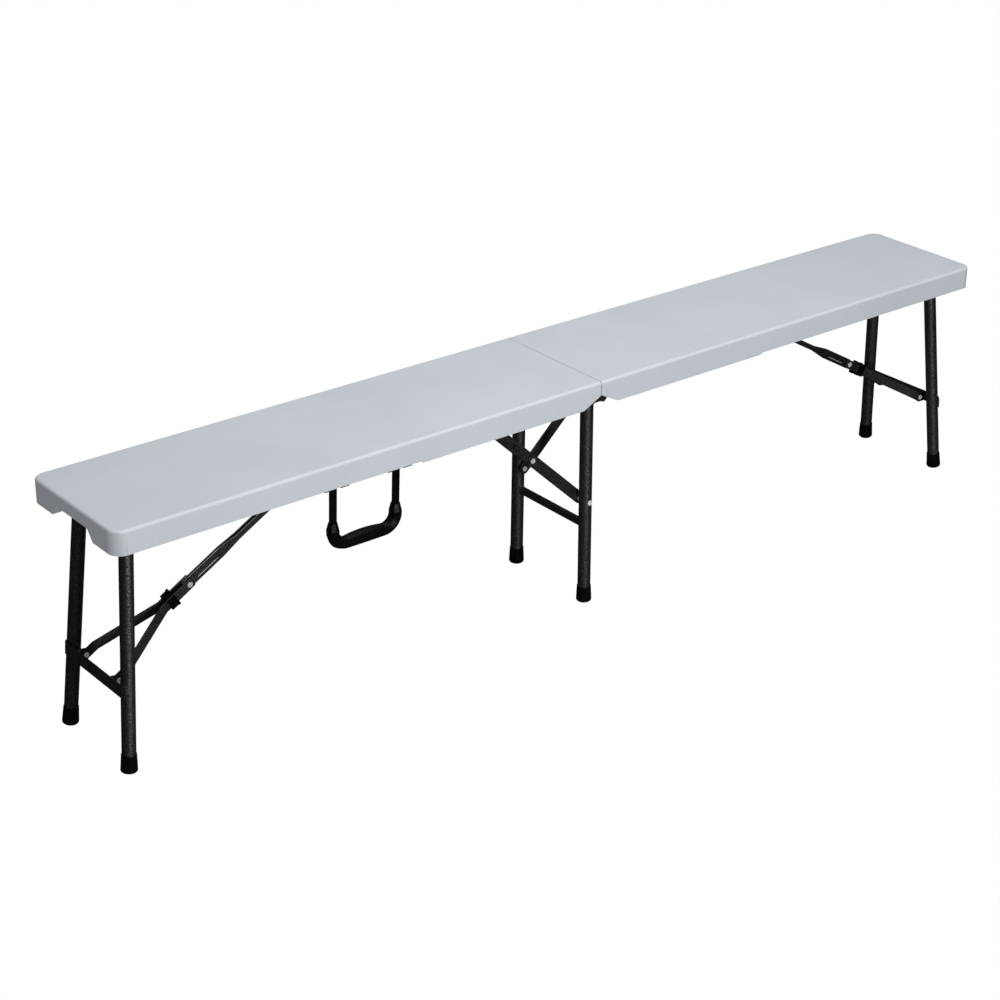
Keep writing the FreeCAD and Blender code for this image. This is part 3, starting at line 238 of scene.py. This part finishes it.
def textured(name, group, colour_mask, rough_mask, colours, ramp, roughness, relief, **scales):
    """A material whose colour and roughness follow two masks of a group, and its relief the height."""
    material, tree, shader = start_material(name)
    marks = place_group(tree, group, **scales)
    colour = colour_between(tree, marks.outputs[colour_mask], *colours, *ramp)
    tree.links.new(colour, shader.inputs["Base Color"])
    tree.links.new(number_between(tree, marks.outputs[rough_mask], *roughness), shader.inputs["Roughness"])
    bump_from(tree, shader, marks.outputs["Height"], *relief)
    return material, shader


# Moulded grain: two sizes of soft noise, one for relief and one for uneven colour.
grain_group, grain_in, grain_out = start_group(
    "moulded_grain", [("Grain per metre", 900.0), ("Mottle per metre", 9.0)], ["Height", "Mottle"])
grain_place = grain_group.nodes.new("ShaderNodeTexCoord")
fine_noise = grain_group.nodes.new("ShaderNodeTexNoise")
fine_noise.inputs["Detail"].default_value = 3.0
fine_noise.inputs["Roughness"].default_value = 0.55
mottle_noise = grain_group.nodes.new("ShaderNodeTexNoise")
mottle_noise.inputs["Detail"].default_value = 4.0
grain_group.links.new(grain_place.outputs["Object"], fine_noise.inputs["Vector"])
grain_group.links.new(grain_place.outputs["Object"], mottle_noise.inputs["Vector"])
grain_group.links.new(grain_in.outputs["Grain per metre"], fine_noise.inputs["Scale"])
grain_group.links.new(grain_in.outputs["Mottle per metre"], mottle_noise.inputs["Scale"])
grain_group.links.new(fine_noise.outputs["Fac"], grain_out.inputs["Height"])
grain_group.links.new(mottle_noise.outputs["Fac"], grain_out.inputs["Mottle"])


def dress(material, *nodes):
    """Gives a finish to CAD nodes."""
    for node in nodes:
        for slot in frame["nodes"][node].material_slots:
            slot.material = material


# Shapes. Rounded copies of CAD nodes and small turned or drawn forms, each on the body that carries it.
# Distances are in metres and angles in degrees.
SAME_PLACE = 1e-5
FLAT_TURN = 1.0
HARD_TURN = 30.0
SOFT_TURN = 50
EDGE_STEPS = 2
SLIVER_MERGE, SLIVER_DROP = 6e-6, 3e-6

body_of = {node: body for body, nodes in frame["record"]["behaviour"]["bodies"].items() for node in nodes}


def new_piece(name, mesh, material, body):
    """Puts a finished mesh in the scene, on the body that carries it."""
    piece = place_object(name, mesh)
    mesh.materials.clear()
    mesh.materials.append(material)
    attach(piece, body)
    return piece


def smooth_where_soft(work, angle):
    """Smooth shading across gentle turns, a hard line across sharp ones."""
    for face in work.faces:
        face.smooth = True
    for edge in work.edges:
        edge.smooth = len(edge.link_faces) == 2 and edge.calc_face_angle(0) < math.radians(angle)


def to_new_mesh(work, name):
    """Ends the drawing of a shape and gives its mesh."""
    mesh = bpy.data.meshes.new(name)
    work.to_mesh(mesh)
    work.free()
    return mesh


def drawn_mesh(work, name, angle):
    """The mesh of a drawn shape, facing outwards, smooth across turns gentler than an angle."""
    bmesh.ops.recalc_face_normals(work, faces=work.faces)
    smooth_where_soft(work, angle)
    return to_new_mesh(work, name)


def ring(work, center, first, second, radius, sides):
    """One circle of vertices, in the plane of two directions."""
    return [work.verts.new(center + (first * math.cos(turn) + second * math.sin(turn)) * radius)
            for turn in (math.tau * k / sides for k in range(sides))]


def skin(work, rings):
    """Faces from each ring to the next, and across both ends."""
    sides = len(rings[0])
    for low, high in zip(rings, rings[1:]):
        for k in range(sides):
            work.faces.new((low[k], low[(k + 1) % sides], high[(k + 1) % sides], high[k]))
    work.faces.new(rings[0][::-1])
    work.faces.new(rings[-1])


def softened(node, width, material, shortest, clamped=False):
    """The shape of a CAD node with its hard edges rounded over by a small width, shown in its place.

    Edges up to the shortest length stay sharp. A clamped rounding narrows where it would cross itself.
    """
    mesh = frame["nodes"][node].data.copy()
    mesh.name = node + "_softened"
    mesh.attributes.remove(mesh.attributes["custom_normal"])
    work = bmesh.new()
    work.from_mesh(mesh)
    bmesh.ops.remove_doubles(work, verts=work.verts, dist=SAME_PLACE)
    bmesh.ops.dissolve_limit(work, angle_limit=math.radians(FLAT_TURN), verts=work.verts, edges=work.edges)
    hard = [edge for edge in work.edges
            if edge.calc_face_angle(0) > math.radians(HARD_TURN) and edge.calc_length() > shortest]
    bmesh.ops.bevel(work, geom=hard, offset=width, offset_type="OFFSET", segments=EDGE_STEPS, profile=0.5,
                    affect="EDGES", clamp_overlap=clamped)
    bmesh.ops.remove_doubles(work, verts=work.verts, dist=SLIVER_MERGE)
    bmesh.ops.dissolve_degenerate(work, edges=work.edges, dist=SLIVER_DROP)
    smooth_where_soft(work, SOFT_TURN)
    work.to_mesh(mesh)
    work.free()
    piece = new_piece(node + "_soft", mesh, material, body_of[node])
    level = piece.modifiers.new("flat_faces_stay_flat", "WEIGHTED_NORMAL")
    level.keep_sharp = True
    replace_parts(piece, node)
    return piece


# Seat. Two hinged halves of blow-moulded polyethylene in a light blue-grey, with the fine leathery
# grain that the mould leaves, and a barely uneven colour where the wall runs thicker and thinner.
SEAT_PALE = (0.575, 0.605, 0.645)
SEAT_DEEP = (0.545, 0.576, 0.616)
SEAT_EDGE, SEAT_SHORTEST = 0.0005, 0.0035
seat_plastic, seat_shader = textured(
    "seat_plastic", grain_group, "Mottle", "Mottle", (SEAT_DEEP, SEAT_PALE), EVEN_RAMP,
    roughness=(0.50, 0.60), relief=(0.0004, 0.35), Grain_per_metre=1100.0, Mottle_per_metre=7.0)
seat_shader.inputs["Specular IOR Level"].default_value = 0.32
for side in SIDES:
    dress(seat_plastic, side + "top")
    softened(side + "top", SEAT_EDGE, seat_plastic, SEAT_SHORTEST)


# Steel frame. Round legs, flat braces and pressed brackets, all in a charcoal hammertone powder
# coat: shallow dimples a few millimetres across, with paler metallic flecks in the paint.
hammer_group, hammer_in, hammer_out = start_group(
    "hammertone", [("Dimples per metre", 430.0), ("Flecks per metre", 560.0)], ["Height", "Fleck"])
hammer_place = hammer_group.nodes.new("ShaderNodeTexCoord")
dimples = hammer_group.nodes.new("ShaderNodeTexVoronoi")
dimples.feature = "SMOOTH_F1"
dimples.inputs["Smoothness"].default_value = 0.6
flecks = hammer_group.nodes.new("ShaderNodeTexNoise")
flecks.inputs["Detail"].default_value = 3.0
hammer_group.links.new(hammer_place.outputs["Object"], dimples.inputs["Vector"])
hammer_group.links.new(hammer_place.outputs["Object"], flecks.inputs["Vector"])
hammer_group.links.new(hammer_in.outputs["Dimples per metre"], dimples.inputs["Scale"])
hammer_group.links.new(hammer_in.outputs["Flecks per metre"], flecks.inputs["Scale"])
hammer_group.links.new(dimples.outputs["Distance"], hammer_out.inputs["Height"])
hammer_group.links.new(flecks.outputs["Fac"], hammer_out.inputs["Fleck"])

COAT_DARK = (0.095, 0.093, 0.092)
COAT_FLECK = (0.330, 0.324, 0.320)
FLECK_RAMP = (0.44, 0.74)
frame_coat, coat_shader = textured(
    "hammertone_coat", hammer_group, "Fleck", "Height", (COAT_DARK, COAT_FLECK), FLECK_RAMP,
    roughness=(0.41, 0.50), relief=(0.0007, 0.6))
coat_shader.inputs["Metallic"].default_value = 0.97
coat_shader.inputs["Specular IOR Level"].default_value = 0.30

dress(frame_coat, "center_leg_near", "center_leg_far", "center_top_tube", "center_crossbar", "hinge_links",
      "hinge_pins", "handle_retainers")
for side in SIDES:
    dress(frame_coat, *[side + piece for piece in (
        "hinge_brackets", "leg_clips", "brace_anchor", "stay_anchor", "leg_near", "leg_far",
        "leg_pivot_tube", "leg_crossbar", "brace_lugs", "brace_arm_near", "brace_arm_far",
        "brace_channel", "stay_bar", "stay_channel")])

# The flat steel is sheared and pressed, then tumbled: its edges are broken by about half a millimetre.
# The lugs are too small all round for a full rounding.
PLATE_EDGE, THIN_PLATE_EDGE, CHANNEL_EDGE = 0.0005, 0.0004, 0.00017
SHORTEST = 0.0012
for plate in ("hinge_links", "handle_retainers"):
    softened(plate, THIN_PLATE_EDGE, frame_coat, SHORTEST)
for side in SIDES:
    for plate in ("hinge_brackets", "leg_clips", "brace_anchor", "stay_anchor", "leg_crossbar",
                  "brace_arm_near", "brace_arm_far", "stay_bar", "stay_channel"):
        softened(side + plate, PLATE_EDGE, frame_coat, SHORTEST)
    softened(side + "brace_lugs", PLATE_EDGE, frame_coat, SHORTEST, clamped=True)


# Brace channels. The edges that face up carry a painted highlight, a pale metallic colour that stands in for
# the lamp's glint along them, and so does a low bead along each wall, pressed out to stiffen the sheet
# beside the knee.
# Painted highlight: the colours of the up-facing channel faces and of the beads, pale and metallic in place
# of the lamp's glint.
HIGHLIGHT_DULL, HIGHLIGHT_BRIGHT = (0.50, 0.50, 0.52), (0.85, 0.86, 0.89)
painted_highlight_coat, highlight_tree, highlight_shader = start_material("painted_highlight_coat")
highlight_marks = place_group(highlight_tree, grain_group, Grain_per_metre=900.0, Mottle_per_metre=260.0)
highlight_colour = colour_between(highlight_tree, highlight_marks.outputs["Mottle"], HIGHLIGHT_DULL, HIGHLIGHT_BRIGHT,
                               *EVEN_RAMP)
highlight_tree.links.new(highlight_colour, highlight_shader.inputs["Base Color"])
highlight_shader.inputs["Metallic"].default_value = 0.45
highlight_shader.inputs["Roughness"].default_value = 0.42

KNEE = Vector((-0.728, 0, 0.230))
BRACE_TOP = Vector((-0.447, 0, 0.390))
CHANNEL_HALF_WIDTH = 0.003
HIGHLIGHT_FACES_UP = 0.5
BEAD_START, BEAD_END = 0.014, 0.066
BEAD_BELOW_AXIS = 0.0032
BEAD_R, BEAD_STANDS_OUT = 0.0010, 0.0002
BEAD_SPANS, BEAD_SIDES = 13, 12
BEAD_BLUNTNESS, BEAD_TIP = 8, 0.05
BEAD_SMOOTH = 60
ACROSS = Vector((0, 1, 0))

for side, way in zip(SIDES, (1, -1)):
    piece = softened(side + "brace_channel", CHANNEL_EDGE, frame_coat, SHORTEST)
    slope = (BRACE_TOP - KNEE).normalized()
    along = Vector((slope.x * way, 0, slope.z))
    upward = Vector((-slope.z * way, 0, slope.x))
    piece.data.materials.append(painted_highlight_coat)
    # Faces turned up toward the lamp take the painted highlight material.
    for face in piece.data.polygons:
        if face.normal.dot(upward) > HIGHLIGHT_FACES_UP:
            face.material_index = 1
    work = bmesh.new()
    knee = Vector((KNEE.x * way, 0, KNEE.z))
    for wall in (-1, 1):
        rings = []
        for i in range(BEAD_SPANS + 1):
            share = i / BEAD_SPANS
            reach = BEAD_START + (BEAD_END - BEAD_START) * share
            size = BEAD_R * math.sqrt(max(BEAD_TIP, 1 - (2 * share - 1) ** BEAD_BLUNTNESS))
            center = knee + along * reach - upward * BEAD_BELOW_AXIS
            center.y = wall * (CHANNEL_HALF_WIDTH + BEAD_STANDS_OUT - BEAD_R)
            rings.append(ring(work, center, upward, ACROSS, size, BEAD_SIDES))
        skin(work, rings)
    mesh = drawn_mesh(work, side + "channel_beads", BEAD_SMOOTH)
    # The beads are coloured with the painted highlight material too.
    new_piece(side + "channel_beads", mesh, painted_highlight_coat, side + "brace_channel_link")


# Weld beads. Short ripples of weld metal where the tubes meet each other and the crossbars,
# laid before painting, so the same coat runs over them.
WELD_SIDES, WELD_SMOOTH = 8, 70
WELD_END_SHARE = 0.55
RIPPLE_SHARE, RIPPLE_STEP = 0.16, 2.1
END_WELD_R, CENTER_WELD_R = 0.0014, 0.0013


def weld_bead(name, lines, radius, body):
    """Ripples of weld along each open line of points, sunk halfway into the joint."""
    work = bmesh.new()
    for points in lines:
        last = len(points) - 1
        rings = []
        for i, point in enumerate(points):
            along = (points[min(i + 1, last)] - points[max(i - 1, 0)]).normalized()
            first = along.orthogonal().normalized()
            second = along.cross(first)
            at_end = i in (0, last)
            share = WELD_END_SHARE if at_end else 1.0 + RIPPLE_SHARE * math.sin(RIPPLE_STEP * i)
            rings.append(ring(work, point, first, second, radius * share, WELD_SIDES))
        skin(work, rings)
    new_piece(name, drawn_mesh(work, name, WELD_SMOOTH), frame_coat, body)


LEG_R = 0.01125
PIVOT_X, PIVOT_Z, PIVOT_TUBE_R = -0.864, 0.391, 0.008
TOP_TUBE_Z, TOP_TUBE_R = 0.390, 0.009
FOOT_OUT = 0.036
END_FOOT, END_TOP = Vector((-0.900, 0.0906, 0)), Vector((PIVOT_X, 0.067, PIVOT_Z))
CENTER_FOOT, CENTER_TOP = Vector((0, 0.0928, 0)), Vector((0, 0.0883, TOP_TUBE_Z))
SADDLE_HALF_STEPS, SADDLE_REACH = 6, 0.97


def saddle_lines(foot, top, cross_r):
    """The two seams where a leg's top, coped over a cross tube, meets it below the tube."""
    lines = []
    for outward in (-1, 1):
        line = []
        for i in range(2 * SADDLE_HALF_STEPS + 1):
            dx = cross_r * SADDLE_REACH * (i / SADDLE_HALF_STEPS - 1)
            z = top.z - math.sqrt(cross_r ** 2 - dx ** 2)
            leg_y = foot.y + (top.y - foot.y) * (z / top.z)
            line.append(Vector((top.x + dx, leg_y + outward * math.sqrt(LEG_R ** 2 - dx ** 2), z)))
        lines.append(line)
    return lines


def on_both_sides(lines):
    """Lines of the far leg, with their mirror images on the near one."""
    return lines + [[Vector((p.x, -p.y, p.z)) for p in line] for line in lines]


def half_turn(lines):
    """The same lines on the other half of the bench."""
    return [[Vector((-p.x, -p.y, p.z)) for p in line] for line in lines]


BAR_LOW, BAR_HIGH = 0.1245, 0.1455
BAR_AXIS_Y = 0.0824
WRAP_R, WRAP_AROUND, WRAP_STEPS = 0.0124, math.pi / 4, 9
lean = math.atan2(FOOT_OUT, PIVOT_Z)


def leaning(point):
    """A point of an upright leg frame, leant out about the pivot tube as the legs stand."""
    dx, dz = point.x - PIVOT_X, point.z - PIVOT_Z
    return Vector((PIVOT_X + dx * math.cos(lean) + dz * math.sin(lean), point.y,
                   PIVOT_Z - dx * math.sin(lean) + dz * math.cos(lean)))


wrap_end = []
for i in range(WRAP_STEPS + 1):
    z = BAR_LOW + (BAR_HIGH - BAR_LOW) * i / WRAP_STEPS
    wrap_end.append(leaning(Vector((PIVOT_X - WRAP_R * math.cos(WRAP_AROUND),
                                    BAR_AXIS_Y + WRAP_R * math.sin(WRAP_AROUND), z))))
end_welds = on_both_sides(saddle_lines(END_FOOT, END_TOP, PIVOT_TUBE_R) + [wrap_end])
weld_bead("left_leg_welds", end_welds, END_WELD_R, "left_legs")
weld_bead("right_leg_welds", half_turn(end_welds), END_WELD_R, "right_legs")

# The centre crossbar is flat-sided with round edges; its seam and the hinge link's run right round.
BAR_MIDDLE_Z, BAR_EDGE_R, BAR_FLAT_HALF = 0.146, 0.004, 0.004
LINK_FACE_Y = 0.1099
SEAM_STEPS = 24
bar_seam, link_seam = [], []
for turn in (math.tau * i / SEAM_STEPS for i in range(SEAM_STEPS + 1)):
    dx = BAR_EDGE_R * math.cos(turn)
    flat_half = BAR_FLAT_HALF if math.sin(turn) >= 0 else -BAR_FLAT_HALF
    z = BAR_MIDDLE_Z + (BAR_EDGE_R * math.sin(turn) + flat_half)
    leg_y = CENTER_FOOT.y + (CENTER_TOP.y - CENTER_FOOT.y) * z / CENTER_TOP.z
    bar_seam.append(Vector((dx, leg_y - math.sqrt(LEG_R ** 2 - dx ** 2), z)))
    link_z = TOP_TUBE_Z + TOP_TUBE_R * math.sin(turn)
    link_seam.append(Vector((TOP_TUBE_R * math.cos(turn), LINK_FACE_Y, link_z)))
center_welds = on_both_sides(saddle_lines(CENTER_FOOT, CENTER_TOP, TOP_TUBE_R) + [bar_seam, link_seam])
weld_bead("center_welds", center_welds, CENTER_WELD_R, "centre_frame")


# Black plastic. Foot caps, lock collars and the carry handle, moulded in black polypropylene
# with a satin, slightly scuffed skin. The handle arms' short edges leave room for little rounding.
BLACK_DEEP = (0.0020, 0.0018, 0.0018)
BLACK_WORN = (0.0050, 0.0044, 0.0044)
HANDLE_EDGE, COLLAR_EDGE = 0.0009, 0.0003
black_plastic, black_shader = textured(
    "black_plastic", grain_group, "Mottle", "Mottle", (BLACK_DEEP, BLACK_WORN), EVEN_RAMP,
    roughness=(0.22, 0.32), relief=(0.0003, 0.3), Grain_per_metre=1600.0, Mottle_per_metre=60.0)
black_shader.inputs["Specular IOR Level"].default_value = 0.16
dress(black_plastic, "center_foot_caps", "left_foot_caps", "right_foot_caps", "left_lock_collars",
      "right_lock_collars", "handle_arms", "handle_grip")
softened("handle_arms", HANDLE_EDGE, black_plastic, SHORTEST, clamped=True)
for side in SIDES:
    softened(side + "lock_collars", COLLAR_EDGE, black_plastic, SHORTEST)


# Zinc-plated steel. Semi-tubular rivets, their ends rolled over into a rim round a small dimple,
# and pan-head screws with a cross recess, bright with faint brushing and a few duller spots.
ZINC_BRIGHT = (0.80, 0.81, 0.83)
ZINC_DULL = (0.52, 0.53, 0.55)
zinc, zinc_shader = textured(
    "zinc_plate", grain_group, "Mottle", "Mottle", (ZINC_DULL, ZINC_BRIGHT), EVEN_RAMP,
    roughness=(0.42, 0.26), relief=(0.0002, 0.2), Grain_per_metre=2500.0, Mottle_per_metre=400.0)
zinc_shader.inputs["Metallic"].default_value = 0.15
dress(zinc, "stay_leg_rivets")
for side in SIDES:
    dress(zinc, *[side + piece for piece in (
        "anchor_pins", "bracket_screws", "lug_rivets", "knee_rivets", "knee_pin", "stay_bar_rivet",
        "stay_channel_rivet")])


def solid_boxes(node):
    """The lowest and highest corner of each separate solid of a CAD node."""
    work = bmesh.new()
    work.from_mesh(frame["nodes"][node].data)
    bmesh.ops.remove_doubles(work, verts=work.verts, dist=SAME_PLACE)
    left, boxes = set(work.verts), []
    while left:
        reached, todo = set(), [left.pop()]
        while todo:
            vert = todo.pop()
            reached.add(vert)
            for edge in vert.link_edges:
                other = edge.other_vert(vert)
                if other in left:
                    left.remove(other)
                    todo.append(other)
        places = [vert.co for vert in reached]
        boxes.append((Vector([min(p[k] for p in places) for k in range(3)]),
                      Vector([max(p[k] for p in places) for k in range(3)])))
    work.free()
    return sorted(boxes, key=lambda corners: tuple(corners[0]))


LATHE_SIDES = 32


def turn_on_lathe(work, profile, place, axis):
    """Adds a turned shape: (radius, height) points about an axis from a place, closed at both ends."""
    first = axis.orthogonal().normalized()
    second = axis.cross(first)
    skin(work, [ring(work, place + axis * height, first, second, radius, LATHE_SIDES)
                for radius, height in profile])


# A rolled-over rivet end from the sheet outwards, as shares of the head's radius and thickness.
ROLLED_HEAD = ((0.93, 0), (1, 0.22), (0.97, 0.5), (0.86, 0.82), (0.68, 1), (0.50, 0.93), (0.38, 0.62),
               (0.30, 0.34), (0.06, 0.28))
RIVET_R, RIVET_SMOOTH = 0.003, 40


def rolled_head(radius, thick):
    """The profile of a rivet's head of one size."""
    return [(radius * r, thick * h) for r, h in ROLLED_HEAD]


def rivet_profile(length, low_head=None, high_head=None, collar=()):
    """A rivet's whole outline from its low end to its high one; each head is a (radius, thickness)."""
    low = [(r, -h) for r, h in reversed(rolled_head(*low_head))] if low_head else []
    high = [(r, length + h) for r, h in rolled_head(*high_head)] if high_head else []
    return low + [(RIVET_R, 0), *collar, (RIVET_R, length)] + high


def finish_rivets(node, work):
    """Puts the turned rivets of one node in its place."""
    mesh = drawn_mesh(work, node + "_rolled", RIVET_SMOOTH)
    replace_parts(new_piece(node + "_rolled", mesh, zinc, body_of[node]), node)


def dress_rivets(node, thick, heads):
    """Rolled rivets in place of a node's plain ones: heads at both ends, or outward or inward only."""
    work = bmesh.new()
    for low, high in solid_boxes(node):
        middle = (low + high) / 2
        head = ((high.x - low.x) / 2, thick)
        outward = 1 if middle.y > 0 else -1
        headed = {"both": (-1, 1), "outward": (outward,), "inward": (-outward,)}[heads]
        start = low.y + (thick if -1 in headed else 0)
        end = high.y - (thick if 1 in headed else 0)
        profile = rivet_profile(end - start, head if -1 in headed else None, head if 1 in headed else None)
        turn_on_lathe(work, profile, Vector((middle.x, start, middle.z)), ACROSS)
    finish_rivets(node, work)


for side in SIDES:
    for rivet, thick, heads in (("lug_rivets", 0.0020, "both"), ("knee_rivets", 0.0020, "outward"),
                                ("anchor_pins", 0.0015, "both"), ("stay_bar_rivet", 0.0018, "outward"),
                                ("stay_channel_rivet", 0.0018, "inward")):
        dress_rivets(side + rivet, thick, heads)

# The rivet of each centre leg carries a collar that holds the stay bar off the tube.
STAY_COLLAR_R, STAY_COLLAR_OUT, STAY_COLLAR_IN = 0.005, 0.0804, 0.0758
STAY_HEAD_R, STAY_OUTER_THICK, STAY_INNER_THICK = 0.0048, 0.0020, 0.0015
work = bmesh.new()
for low, high in solid_boxes("stay_leg_rivets"):
    middle = (low + high) / 2
    outward = 1 if middle.y > 0 else -1
    inner = min(abs(low.y), abs(high.y)) + STAY_INNER_THICK
    skin_y = max(abs(low.y), abs(high.y)) - STAY_OUTER_THICK
    near_end, far_end = STAY_COLLAR_IN - inner, STAY_COLLAR_OUT - inner
    collar = [(RIVET_R, near_end), (STAY_COLLAR_R, near_end), (STAY_COLLAR_R, far_end), (RIVET_R, far_end)]
    profile = rivet_profile(skin_y - inner, (STAY_HEAD_R, STAY_INNER_THICK), (STAY_HEAD_R, STAY_OUTER_THICK),
                            collar)
    turn_on_lathe(work, profile, Vector((0, outward * inner, middle.z)), Vector((0, outward, 0)))
finish_rivets("stay_leg_rivets", work)

# One screw, head down: a domed pan with a tapered cross cut into it, then copied to every hole,
# each turned by an amount that follows from its place. The dome is in shares of the head's radius.
SCREW_HEAD_R, SCREW_HEAD_THICK = 0.004, 0.002
SCREW_R, SCREW_LENGTH = 0.002, 0.009
SCREW_DOME = ((1, 0), (1, -0.0007), (0.93, -0.0013), (0.72, -0.0018), (0.40, -SCREW_HEAD_THICK),
              (0.05, -SCREW_HEAD_THICK))
SCREW_SPIN, SCREW_SMOOTH = 1480.0, 32
CROSS_REACH, CROSS_SLOT = 0.0022, 0.00042
CROSS_ROOT_SHARE = 0.45
CROSS_TOP_Z, CROSS_ROOT_Z = -SCREW_HEAD_THICK * 1.2, -SCREW_HEAD_THICK * 0.30
work = bmesh.new()
screw_profile = [(SCREW_R, SCREW_LENGTH), (SCREW_R, 0)] + [(SCREW_HEAD_R * r, z) for r, z in SCREW_DOME]
turn_on_lathe(work, screw_profile, Vector((0, 0, 0)), Vector((0, 0, 1)))
bmesh.ops.recalc_face_normals(work, faces=work.faces)
screw_blank = place_object("pan_screw", to_new_mesh(work, "pan_screw"))
work = bmesh.new()
for long_x in (True, False):
    ends = []
    for z, reach in ((CROSS_TOP_Z, CROSS_REACH), (CROSS_ROOT_Z, CROSS_REACH * CROSS_ROOT_SHARE)):
        corners = [(sx * reach, sy * CROSS_SLOT) for sx, sy in ((-1, -1), (1, -1), (1, 1), (-1, 1))]
        ends.append([work.verts.new((a, b, z) if long_x else (-b, a, z)) for a, b in corners])
    skin(work, ends)
bmesh.ops.recalc_face_normals(work, faces=work.faces)
cross_cutter = place_object("cross_cutter", to_new_mesh(work, "cross_cutter"))
cut = screw_blank.modifiers.new("cross_recess", "BOOLEAN")
cut.operation = "DIFFERENCE"
cut.object = cross_cutter
cut.use_self = True
bpy.context.view_layer.update()
cut_screw = screw_blank.evaluated_get(bpy.context.evaluated_depsgraph_get())
screw_shape = bpy.data.meshes.new_from_object(cut_screw)
bpy.data.objects.remove(screw_blank)
bpy.data.objects.remove(cross_cutter)

for side in SIDES:
    work = bmesh.new()
    for low, high in solid_boxes(side + "bracket_screws"):
        middle = (low + high) / 2
        before = len(work.verts)
        work.from_mesh(screw_shape)
        work.verts.ensure_lookup_table()
        seat = Matrix.Translation((middle.x, middle.y, low.z + SCREW_HEAD_THICK))
        spin = Matrix.Rotation(SCREW_SPIN * (middle.x + 2 * middle.y), 4, "Z")
        bmesh.ops.transform(work, matrix=seat @ spin, verts=work.verts[before:])
    smooth_where_soft(work, SCREW_SMOOTH)
    mesh = to_new_mesh(work, side + "bracket_screws_cross")
    piece = new_piece(side + "bracket_screws_cross", mesh, zinc, side + "half")
    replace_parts(piece, side + "bracket_screws")
